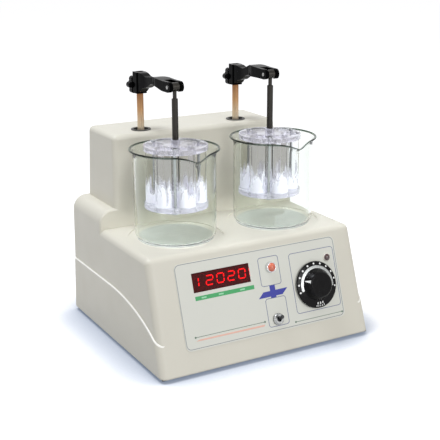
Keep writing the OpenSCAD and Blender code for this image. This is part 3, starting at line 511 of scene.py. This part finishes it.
def plain(name, colour, rough=0.5, metal=0.0, size=0.01, amount=0.15, height=0.00003):
    finish = Finish(name, colour, rough, metal)
    return finish.mottled(size, amount).worn(size, 0.06).relief(size / 6, height, strength=0.5)


FINISHES = {
    "cream": moulded_cream(),
    "cream_painted_highlight": moulded_cream("housing_painted_highlight", PAINTED_HIGHLIGHT_CREAM, 0.3),
    "film": printed_film(),
    "filter": red_filter(),
    "lit": lit_red(),
    "dim": dim_red(),
    "chrome": chrome(),
    "nickel": chrome("nickel", srgb(168, 169, 168), 0.3),
    "steel": turned_steel("steel", srgb(176, 178, 180)),
    "dark_steel": turned_steel("steel_dark", srgb(58, 56, 53), 0.34),
    "zinc": zinc(),
    "powder": powder_coat(),
    "rubber": black_rubber(),
    "orange": orange_lens(),
    "dark_red": dark_lens(),
    "pale_bezel": pale_bezel(),
    "bakelite": bakelite(),
    "knob": bakelite("clamp_knob_black", 0.42),
    "enamel": black_enamel(),
    "pin": chrome("pin_steel", srgb(150, 150, 148), 0.3),
    "aluminium": brushed_aluminium(),
    "rod": lift_rod_metal(),
    "bush": plain("bush_grey", srgb(62, 60, 58), 0.5),
    "acrylic": clear_acrylic(),
    "tube": rack_tube(),
    "glass": clear_glass("beaker_clear", srgb(246, 249, 246), 1.22),
    "rim_glass": clear_glass("beaker_rim", srgb(64, 82, 68), 1.3),
    "board": plain("board_green", srgb(34, 104, 62), 0.4, size=0.02),
    "digit_case": plain("digit_case", srgb(52, 24, 26), 0.5),
    "mica": plain("heater_mica", srgb(186, 140, 80), 0.55, size=0.008, amount=0.3),
    "can": plain("can_steel", srgb(170, 172, 176), 0.35, 1.0),
    "brass": plain("disc_brass", srgb(196, 160, 90), 0.3, 1.0),
    "iron": plain("transformer_iron", srgb(120, 84, 56), 0.5, size=0.006),
    "case": plain("switch_case", srgb(48, 52, 58), 0.5),
    "black": plain("socket_black", srgb(34, 35, 38), 0.42),
    "weave": plain("gauze_wire", srgb(170, 172, 176), 0.32, 1.0, size=0.003),
    "white": ink("white", srgb(244, 244, 240)),
    "mint": ink("mint", srgb(150, 208, 168)),
    "scale": ink("scale", srgb(70, 72, 74)),
    "silver": plain("dial_silver", srgb(186, 188, 186), 0.34, 0.6, size=0.004),
    "line": ink("line_grey", srgb(120, 124, 130)),
    "green": ink("green", srgb(58, 158, 92)),
    "salmon": ink("salmon", srgb(226, 178, 160)),
    "pine": ink("line_green", srgb(96, 118, 100)),
    "slate": ink("line_blue", srgb(92, 100, 136)),
    "blue": ink("blue", srgb(40, 48, 148)),
}

# ---------------------------------------------------------------- the panel's own directions

FRONT_Y = CAD_LOW.y
RIM_Z = 4 * MM
PANEL_LEAN = 46.5 * MM
PANEL_RISE = 139 * MM
PANEL_ANGLE = math.atan2(PANEL_LEAN, PANEL_RISE)
SHEET_T = 0.6 * MM
PRINT_T = 0.05 * MM


def on_panel(across, up, out=0.0):
    """A point on the sloped panel, from millimetres across and up the slope and metres out of it."""
    return Vector((across * MM,
                   FRONT_Y + up * MM * math.sin(PANEL_ANGLE) - out * math.cos(PANEL_ANGLE),
                   RIM_Z + up * MM * math.cos(PANEL_ANGLE) + out * math.sin(PANEL_ANGLE)))


def panel_height(point):
    """How far a point lies out of the panel's face, in metres."""
    return (FRONT_Y - point.y) * math.cos(PANEL_ANGLE) + (point.z - RIM_Z) * math.sin(PANEL_ANGLE)


# ---------------------------------------------------------------- mesh helpers


def add_object(name, mesh_data, body, slot, *finishes):
    """Links a mesh as a piece that rides on a body and takes the named finishes; the slot is not used."""
    piece = bpy.data.objects.new(name, mesh_data)
    bpy.context.scene.collection.objects.link(piece)
    for finish in finishes:
        mesh_data.materials.append(FINISHES[finish].material)
    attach(piece, body)
    return piece


def mesh_from(bm, name):
    bmesh.ops.recalc_face_normals(bm, faces=bm.faces)
    mesh = bpy.data.meshes.new(name)
    bm.to_mesh(mesh)
    bm.free()
    return mesh


def add_prism(bm, outline, place, low, high, finish=0):
    """A closed slab: `outline` is a list of (a, b), and place(a, b, out) gives its point."""
    bottom = [bm.verts.new(place(a, b, low)) for a, b in outline]
    top = [bm.verts.new(place(a, b, high)) for a, b in outline]
    faces = [bm.faces.new(bottom[::-1]), bm.faces.new(top)]
    for i in range(len(outline)):
        j = (i + 1) % len(outline)
        faces.append(bm.faces.new((bottom[i], bottom[j], top[j], top[i])))
    for face in faces:
        face.material_index = finish


def add_band(bm, inner, outer, place, low, high, closed, finish=0):
    """A closed strip between two matching rows of points (a, b)."""
    rows = []
    for row in (inner, outer):
        rows.append([bm.verts.new(place(a, b, low)) for a, b in row])
        rows.append([bm.verts.new(place(a, b, high)) for a, b in row])
    ring = (rows[0], rows[1], rows[3], rows[2])
    count = len(inner)
    faces = []
    for i in range(count if closed else count - 1):
        j = (i + 1) % count
        for k in range(4):
            a, b = ring[k], ring[(k + 1) % 4]
            faces.append(bm.faces.new((a[i], a[j], b[j], b[i])))
    if not closed:
        faces.append(bm.faces.new([row[0] for row in ring]))
        faces.append(bm.faces.new([row[-1] for row in ring[::-1]]))
    for face in faces:
        face.material_index = finish


def round_box(left, low, right, high, radius, steps=6):
    """The outline of a rectangle with round corners."""
    points = []
    corners = ((right - radius, low + radius, -90), (right - radius, high - radius, 0),
               (left + radius, high - radius, 90), (left + radius, low + radius, 180))
    for x, y, start in corners:
        for i in range(steps + 1):
            turn = math.radians(start + 90 * i / steps)
            points.append((x + radius * math.cos(turn), y + radius * math.sin(turn)))
    return points


def circle(x, y, radius, steps=32):
    return [(x + radius * math.cos(2 * math.pi * i / steps), y + radius * math.sin(2 * math.pi * i / steps))
            for i in range(steps)]


def arc_points(radius, start, end, steps):
    return [(radius * math.cos(math.radians(start + (end - start) * i / steps)),
             radius * math.sin(math.radians(start + (end - start) * i / steps))) for i in range(steps + 1)]


def smooth_all(mesh):
    mesh.polygons.foreach_set("use_smooth", [True] * len(mesh.polygons))


def add_weighted_normals(piece):
    modifier = piece.modifiers.new("normals", "WEIGHTED_NORMAL")
    modifier.keep_sharp = True
    modifier.weight = 80


SHARP = math.radians(32)


def refine(node, finishes, edge, reshape=None):
    """Replaces a node by itself with flat faces merged and sharp edges rounded to `edge` mm."""
    source = frame["nodes"][node]
    bm = bmesh.new()
    bm.from_mesh(source.data)
    bmesh.ops.remove_doubles(bm, verts=bm.verts, dist=0.002 * MM)
    bmesh.ops.dissolve_limit(bm, angle_limit=math.radians(0.4), verts=bm.verts, edges=bm.edges)
    if reshape:
        reshape(bm)
    for face in bm.faces:
        face.smooth = True
    for edge_line in bm.edges:
        edge_line.smooth = True
    mesh = bpy.data.meshes.new(node + "_look")
    bm.to_mesh(mesh)
    bm.free()
    piece = add_object(node + "_look", mesh, source["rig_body"], slot_of(node), *finishes)
    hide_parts(node)
    bevel = piece.modifiers.new("edges", "BEVEL")
    bevel.width = edge * MM
    bevel.segments = 2
    bevel.limit_method = "ANGLE"
    bevel.angle_limit = SHARP
    add_weighted_normals(piece)
    return piece


LEDGE_TOP = 78 * MM
LEDGE_INSET = 14 * MM
LEDGE_ROUND = 1.5 * MM
RIM_ROUND = 3.2 * MM
NEAR = 2 * MM


def soften_housing(bm):
    """Broad rounds on the proud side panels' outer edge and on the lower rim. The ledge rounds take the
    second finish, a paler cream that paints a highlight along them.
    """
    half = CAD_HIGH.x
    ledges, rims = [], []
    for edge in bm.edges:
        if len(edge.link_faces) != 2 or edge.calc_face_angle_signed(0) < SHARP:
            continue
        middle = (edge.verts[0].co + edge.verts[1].co) / 2
        if abs(middle.z - RIM_Z) < 0.2 * MM:
            if abs(middle.x) > half - NEAR or abs(middle.y) > -FRONT_Y - NEAR:
                rims.append(edge)
        elif RIM_Z + 3 * MM < middle.z < RIM_Z + LEDGE_TOP and abs(middle.x) > half - LEDGE_INSET:
            ledges.append(edge)
    # material=1 gives the ledge rounds the paler cream, a painted highlight.
    bmesh.ops.bevel(bm, geom=ledges, offset=LEDGE_ROUND, segments=4, profile=0.5, affect="EDGES",
                    clamp_overlap=False, material=1)
    rims = [edge for edge in rims if edge.is_valid]
    bmesh.ops.bevel(bm, geom=rims, offset=RIM_ROUND, segments=5, profile=0.5, affect="EDGES",
                    clamp_overlap=False, material=0)


def metal_outside(bm):
    """What shows above the panel sheet is plated: it takes the second finish."""
    for face in bm.faces:
        if panel_height(face.calc_center_median()) > 0:
            face.material_index = 1


def slot_of(node):
    """The record's material slot of a node: its CAD material carries the slot's name."""
    for material in frame["nodes"][node].data.materials:
        if material:
            return material.name.split(".")[0]
    return frame["record"]["materials"][0]["slot"]


# ---------------------------------------------------------------- the panel's prints

# Printed frames in mm on the panel: left, low, right, high and corner radius.
SHEET_FRAME = (-114.4, 30.1, 118.4, 133.9, 6.2)
LAMP_FRAME = (1.5, 87.3, 31, 123.7, 3.5)
SWITCH_FRAME = (3.6, 35, 33.5, 71, 3.5)
DIAL_FRAME = (47.5, 44, 116, 121.6, 4)
FRAME_LINE = 0.75
SHEET_LINE = 0.7
GREEN_BAR = ((-93, 87), (-9.4, 87), (-9.4, 92.2), (-93, 92.2))
GREEN_BAR_MARKS = (-81, -57, -26.5)
GREEN_BAR_MARK = (3.4, 88.7, 90.5)
SALMON_BAR = ((-101, 38.6), (-4, 38.0), (-2, 40.2), (-96, 40.4))
BLUE_POST = ((12.5, 71.3), (20.5, 71.3), (20.5, 87), (12.5, 87))
BLUE_SLANT = ((-5.5, 73), (30, 73.3), (38.5, 80.8), (2.5, 80.3))
# Thin lines with a dot at both ends: left, right and height.
DOT_LINES = ((-101, -2, 43.5), (43, 116, 34.5))
DOT_R = 1.3
DOT_LINE_HALF = 0.35


def stroke_box(bm, frame_box, width, finish):
    """A printed frame line with round corners."""
    left, low, right, high, radius = frame_box
    half = width / 2
    inner = round_box(left + half, low + half, right - half, high - half, radius - half)
    outer = round_box(left - half, low - half, right + half, high + half, radius + half)
    add_band(bm, inner, outer, on_panel, SHEET_T, SHEET_T + PRINT_T, True, finish)


def print_shape(bm, outline, finish, lift=0):
    low = SHEET_T + lift * PRINT_T
    add_prism(bm, outline, on_panel, low, low + PRINT_T, finish)


def print_dot_line(bm, left, right, up, finish):
    """A thin line that ends in a dot at both ends."""
    low, high = up - DOT_LINE_HALF, up + DOT_LINE_HALF
    print_shape(bm, ((left, low), (right, low), (right, high), (left, high)), finish)
    for x in (left, right):
        print_shape(bm, circle(x, up, DOT_R, 20), finish, lift=1)


def add_panel_prints():
    bm = bmesh.new()
    line, slate, green, pine, salmon, blue, mint = range(7)
    stroke_box(bm, SHEET_FRAME, SHEET_LINE, line)
    for frame_box in (LAMP_FRAME, SWITCH_FRAME, DIAL_FRAME):
        stroke_box(bm, frame_box, FRAME_LINE, slate)
    print_shape(bm, GREEN_BAR, green)
    half, low, high = GREEN_BAR_MARK
    for x in GREEN_BAR_MARKS:
        print_shape(bm, ((x - half, low), (x + half, low), (x + half, high), (x - half, high)), mint, lift=1)
    for left, right, up in DOT_LINES:
        print_dot_line(bm, left, right, up, pine)
    print_shape(bm, SALMON_BAR, salmon)
    print_shape(bm, BLUE_POST, blue)
    print_shape(bm, BLUE_SLANT, blue, lift=1)
    add_object("panel_prints", mesh_from(bm, "panel_prints"), "housing", "panel_sheet",
               "line", "slate", "green", "pine", "salmon", "blue", "mint")


# ---------------------------------------------------------------- display

SEGMENTS = {"top": (0, 1, True), "middle": (0, 0, True), "bottom": (0, -1, True),
            "upper_left": (-1, 0.5, False), "upper_right": (1, 0.5, False),
            "lower_left": (-1, -0.5, False), "lower_right": (1, -0.5, False),
            "upper_middle": (0, 0.5, False), "lower_middle": (0, -0.5, False)}
DIGIT_SHAPES = {0: ("top", "bottom", "upper_left", "upper_right", "lower_left", "lower_right"),
                1: ("upper_middle", "lower_middle"),
                2: ("top", "middle", "bottom", "upper_right", "lower_left"),
                8: ("top", "middle", "bottom", "upper_left", "upper_right", "lower_left", "lower_right")}
DISPLAY_DIGITS = (1, 2, 0, 2, 0)
DIGIT_HALF_W = 4.8
DIGIT_HALF_H = 5.7
DIGIT_STROKE = 1.5
DIGIT_SLANT = 0.05
DIGIT_PITCH = 15.4
WINDOW_X = -51.5
WINDOW_S = 108.8
SEGMENT_OUT = -6.6 * MM
SEGMENT_T = 0.12 * MM


def segment_outline(kind, x, y):
    """A segment's six-sided outline about the digit's middle at (x, y)."""
    across, up, flat = SEGMENTS[kind]
    half = DIGIT_STROKE / 2
    length = (DIGIT_HALF_W if flat else DIGIT_HALF_H / 2) - half * 0.75
    points = ((-length, 0), (-length + half, half), (length - half, half),
              (length, 0), (length - half, -half), (-length + half, -half))
    outline = []
    for a, b in points:
        if not flat:
            a, b = -b, a
        a += across * DIGIT_HALF_W
        b += up * DIGIT_HALF_H
        outline.append((x + a + b * DIGIT_SLANT, y + b))
    return outline


def add_display():
    bm = bmesh.new()
    for i, digit in enumerate(DISPLAY_DIGITS):
        x = WINDOW_X + (i - 2) * DIGIT_PITCH
        for kind in DIGIT_SHAPES[1] if digit == 1 else DIGIT_SHAPES[8]:
            lit = kind in DIGIT_SHAPES[digit]
            add_prism(bm, segment_outline(kind, x, WINDOW_S), on_panel,
                      SEGMENT_OUT, SEGMENT_OUT + SEGMENT_T, 0 if lit else 1)
    add_object("display_segments", mesh_from(bm, "display_segments"), "housing", "digits", "lit", "dim")


# ---------------------------------------------------------------- the dial's own prints

DIAL_X = 81
DIAL_S = 76.5
KNOB_PROFILE = ((29.7, 4.2), (21.1, 5.6), (20.5, 6.6), (17, 14), (15, 16), (0, 16))
DIAL_DOTS = 11
DIAL_FIRST = 194
DIAL_LAST = -12
DOT_RING_R = 27.6
DIAL_DOT_R = 1.25
SCALE_INNER_R = 21.3
SCALE_OUTER_R = 24.8
SCALE_MARKS = 50
POINTER_TURN = 159
# Bars along a radius, as (radius, half width) from the outer end inwards.
POINTER = ((20.4, 0.5), (17, 1.7), (16.4, 2.1))
OUTER_MARK = ((28.8, 0.55), (26.6, 0.35))
INNER_MARK = ((25.6, 0.8), (22.6, 0.6))


def on_knob(a, b, out):
    """A point on the knob's outside, from its place seen from the front, lifted by `out` metres."""
    radius = math.hypot(a, b)
    high = KNOB_PROFILE[0][1]
    for (r0, h0), (r1, h1) in zip(KNOB_PROFILE, KNOB_PROFILE[1:]):
        if r1 <= radius <= r0:
            high = h0 + (h1 - h0) * (r0 - radius) / (r0 - r1)
    return on_panel(DIAL_X + a, DIAL_S + b, SHEET_T + high * MM + out)


def radial_bar(bm, turn, marks, lift, finish):
    """A bar that runs along a radius, given as (radius, half width) from its outer end inwards."""
    out = Vector((math.cos(math.radians(turn)), math.sin(math.radians(turn))))
    side = Vector((-out.y, out.x))
    one = [tuple(out * r + side * half) for r, half in marks]
    other = [tuple(out * r - side * half) for r, half in marks]
    add_band(bm, one, other, on_knob, 0, lift, False, finish)


def add_dial_prints():
    bm = bmesh.new()
    white, silver, scale = range(3)
    lift = 0.08 * MM
    for i in range(DIAL_DOTS):
        turn = math.radians(DIAL_FIRST + (DIAL_LAST - DIAL_FIRST) * i / (DIAL_DOTS - 1))
        dot = circle(DOT_RING_R * math.cos(turn), DOT_RING_R * math.sin(turn), DIAL_DOT_R, 20)
        add_prism(bm, dot, on_knob, 0, lift, white)
    inner = arc_points(SCALE_INNER_R, DIAL_FIRST, DIAL_LAST, 60)
    outer = arc_points(SCALE_OUTER_R, DIAL_FIRST, DIAL_LAST, 60)
    add_band(bm, inner, outer, on_knob, 0, lift, False, silver)
    for i in range(1, SCALE_MARKS):
        turn = DIAL_FIRST + (DIAL_LAST - DIAL_FIRST) * i / SCALE_MARKS
        inside = SCALE_INNER_R + (0.6 if i % 5 == 0 else 1.8)
        radial_bar(bm, turn, ((SCALE_OUTER_R - 0.2, 0.14), (inside, 0.14)), 1.5 * lift, scale)
    radial_bar(bm, POINTER_TURN, POINTER, 2 * lift, white)
    for turn in (-101, -95, -89, -83, -77):
        radial_bar(bm, turn, OUTER_MARK, lift, white)
    for turn in (-98, -89, -80):
        radial_bar(bm, turn, INNER_MARK, lift, white)
    add_object("dial_prints", mesh_from(bm, "dial_prints"), "temperature_dial", "knob_black",
               "white", "silver", "scale")


# ---------------------------------------------------------------- beakers

GLASS_T = 1.9
HEEL_R = 8.0
RIM_FLARE = 5.3
RIM_HIGH = 13.0
BEAD_R = 1.3
SPOUT_HIGH = 30.0
SPOUT_DIP = 6.0
SPOUT_SOFT = math.radians(4)
BEAKER_TURNS = 180


def beaker_profile(rim_r, height):
    """The beaker's section as (radius, height, is rim), from underneath out, up and back inside."""
    wall_r = rim_r - RIM_FLARE
    bead_x = rim_r - BEAD_R
    bead_z = height - BEAD_R
    rows = [(r, 0, False) for r in (wall_r * 0.3, wall_r * 0.6, wall_r - HEEL_R)]
    for r, z in arc_points(HEEL_R, -75, 0, 5):
        rows.append((wall_r - HEEL_R + r, HEEL_R + z, False))
    rows += [(wall_r, z, False) for z in (height * 0.3, height * 0.5, height * 0.68)]
    rows += [(wall_r, height - SPOUT_HIGH + k * 3.2, False) for k in range(6)]
    for k in range(9):
        u = k / 8
        flare = (RIM_FLARE - 1.6 * BEAD_R) * u ** 2.4
        rows.append((wall_r + flare, height - RIM_HIGH + (RIM_HIGH - 2) * u, k == 8))
    for a, z in arc_points(BEAD_R, -60, 170, 6):
        rows.append((bead_x + a, bead_z + z, True))
    for k in range(8, -1, -1):
        u = k / 8
        rows.append((wall_r - GLASS_T + (RIM_FLARE - 1.2 * BEAD_R) * u ** 2.4,
                     height - RIM_HIGH + (RIM_HIGH - 2.2) * u, False))
    rows += [(wall_r - GLASS_T, height - SPOUT_HIGH + k * 3.2, False) for k in range(5, -1, -1)]
    rows += [(wall_r - GLASS_T, z, False) for z in (height * 0.68, height * 0.5, height * 0.3)]
    inner_heel = HEEL_R - GLASS_T
    for r, z in arc_points(inner_heel, 0, -75, 5):
        rows.append((wall_r - HEEL_R + r, HEEL_R + z, False))
    rows += [(r, GLASS_T, False) for r in (wall_r - HEEL_R, wall_r * 0.6, wall_r * 0.3)]
    return rows


def spout_push(turn, depth, rim_r, tip_r):
    """How far the spout draws the glass out, at a turn from its middle and a depth below the rim."""
    if depth > SPOUT_HIGH:
        return 0.0
    wide = math.acos(rim_r / tip_r) + SPOUT_SOFT
    away = math.sqrt(turn * turn + SPOUT_SOFT ** 2) * (1 + 0.9 * depth / SPOUT_HIGH)
    if away >= wide:
        return 0.0
    return (rim_r / math.cos(wide - away) - rim_r) * (1 - depth / SPOUT_HIGH) ** 1.5


def make_beaker(side):
    node = side + "_beaker"
    low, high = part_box(node)
    height = (high.z - low.z) / MM
    rim_r = (high.x - low.x) / 2 / MM
    centre = Vector(((low.x + high.x) / 2, high.y - rim_r * MM, low.z))
    tip_r = (centre.y - low.y) / MM
    bm = bmesh.new()
    columns = []
    rows = beaker_profile(rim_r, height)
    for i in range(BEAKER_TURNS):
        turn = -math.pi + 2 * math.pi * i / BEAKER_TURNS
        column = []
        for radius, z, _ in rows:
            push = spout_push(turn, height - z, rim_r, tip_r)
            dip = SPOUT_DIP * (push / (tip_r - rim_r)) ** 1.4
            r = radius + push
            point = Vector((math.sin(turn) * r, -math.cos(turn) * r, z - dip)) * MM
            column.append(bm.verts.new(centre + point))
        columns.append(column)
    for i in range(BEAKER_TURNS):
        a, b = columns[i], columns[(i + 1) % BEAKER_TURNS]
        for k in range(len(rows) - 1):
            face = bm.faces.new((a[k], b[k], b[k + 1], a[k + 1]))
            face.material_index = 1 if rows[k][2] and rows[k + 1][2] else 0
    bm.faces.new([column[0] for column in columns])
    bm.faces.new([column[-1] for column in columns])
    mesh = mesh_from(bm, node + "_look")
    smooth_all(mesh)
    piece = add_object(node + "_look", mesh, frame["nodes"][node]["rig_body"], slot_of(node),
                       "glass", "rim_glass")
    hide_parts(node)


# ---------------------------------------------------------------- gauze

GAUZE_PITCH = 2.0
WIRE_R = 0.17


def add_wire(bm, points, radius, sides):
    """A closed tube along points, whose section stays square to the level."""
    rings = []
    for i, point in enumerate(points):
        ahead = points[min(i + 1, len(points) - 1)] - points[max(i - 1, 0)]
        side = Vector((0, 0, 1)).cross(ahead).normalized()
        up = ahead.cross(side).normalized()
        turns = [2 * math.pi * k / sides for k in range(sides)]
        rings.append([bm.verts.new(point + (side * math.cos(t) + up * math.sin(t)) * radius) for t in turns])
    for a, b in zip(rings, rings[1:]):
        for k in range(sides):
            bm.faces.new((a[k], a[(k + 1) % sides], b[(k + 1) % sides], b[k]))
    bm.faces.new(rings[0][::-1])
    bm.faces.new(rings[-1])


def make_gauze(side):
    """Plain weave: each wire rises and falls over the ones that it crosses."""
    node = side + "_gauze"
    low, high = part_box(node)
    centre = (low + high) / 2
    edge_r = (high.x - low.x) / 2 / MM - 0.5
    count = int(edge_r / GAUZE_PITCH)
    bm = bmesh.new()
    for across in (True, False):
        for i in range(-count, count + 1):
            place = i * GAUZE_PITCH
            half = math.sqrt(edge_r ** 2 - place ** 2)
            steps = max(2, int(2 * half / (GAUZE_PITCH / 2)))
            points = []
            for k in range(steps + 1):
                run = -half + 2 * half * k / steps
                wave = math.cos(math.pi * (run / GAUZE_PITCH + i + (0 if across else 1))) * WIRE_R * 0.7
                flat = (run, place) if across else (place, run)
                points.append(centre + Vector((flat[0], flat[1], wave)) * MM)
            add_wire(bm, points, WIRE_R * MM, 4)
    piece = add_object(node + "_look", mesh_from(bm, node + "_look"), frame["nodes"][node]["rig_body"],
                       slot_of(node), "weave")
    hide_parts(node)


# ---------------------------------------------------------------- what each node looks like

NODE_FINISHES = {
    "base_plate": "powder", "case_screws": "zinc", "rubber_feet": "rubber",
    "display_window": "filter", "display_board": "board", "display_digits": "digit_case",
    "power_lamp_lens": "orange", "heater_lamp_lens": "dark_red",
    "thermostat_body": "can", "temperature_spindle": "steel",
    "left_heater": "mica", "right_heater": "mica", "guide_bracket": "zinc", "motor_bracket": "zinc",
    "gear_motor": "can", "motor_shaft": "steel", "crank_disc": "brass", "crank_roller": "steel",
    "control_board": "board", "transformer": "iron", "crossbar": "can", "yoke_plate": "zinc",
}

REFINED = {
    "front_panel_sheet": ("film", 0.15),
    "switch_nut": ("nickel", 0.3), "switch_lever": ("black", 0.3), "temperature_knob": ("bakelite", 0.5),
    "power_lamp_bezel": ("chrome", 0.4), "heater_lamp_bezel": ("pale_bezel", 0.3),
    "mains_inlet": ("black", 0.4), "fuse_holder": ("black", 0.4),
}
REFINED_ON_EACH_SIDE = {
    "hot_plate": ("aluminium", 0.5), "rod_bush": ("bush", 0.4), "lift_rod": ("rod", 0.5),
    "clamp_arm": ("enamel", 0.9), "clamp_knob": ("knob", 0.8), "hanger_pin": ("pin", 0.4),
    "hanger_rod": ("dark_steel", 0.5), "hanger_collar": ("acrylic", 0.4),
    "upper_plate": ("acrylic", 0.5), "lower_plate": ("acrylic", 0.5),
    "tubes": ("tube", 0.3), "tie_bolts": ("steel", 0.3),
}


def dress_nodes():
    for node, finish in NODE_FINISHES.items():
        mesh = frame["nodes"][node].data
        if not mesh.materials:
            mesh.materials.append(None)
        for i in range(len(mesh.materials)):
            mesh.materials[i] = FINISHES[finish].material
    for node, (finish, edge) in REFINED.items():
        refine(node, [finish], edge)
    for side in SIDES:
        for node, (finish, edge) in REFINED_ON_EACH_SIDE.items():
            refine(side + "_" + node, [finish], edge)
        make_beaker(side)
        make_gauze(side)
    refine("housing_shell", ["cream", "cream_painted_highlight"], 0.5, reshape=soften_housing)
    refine("switch_body", ["case", "nickel"], 0.3, reshape=metal_outside)


add_stage()
dress_nodes()
add_panel_prints()
add_display()
add_dial_prints()
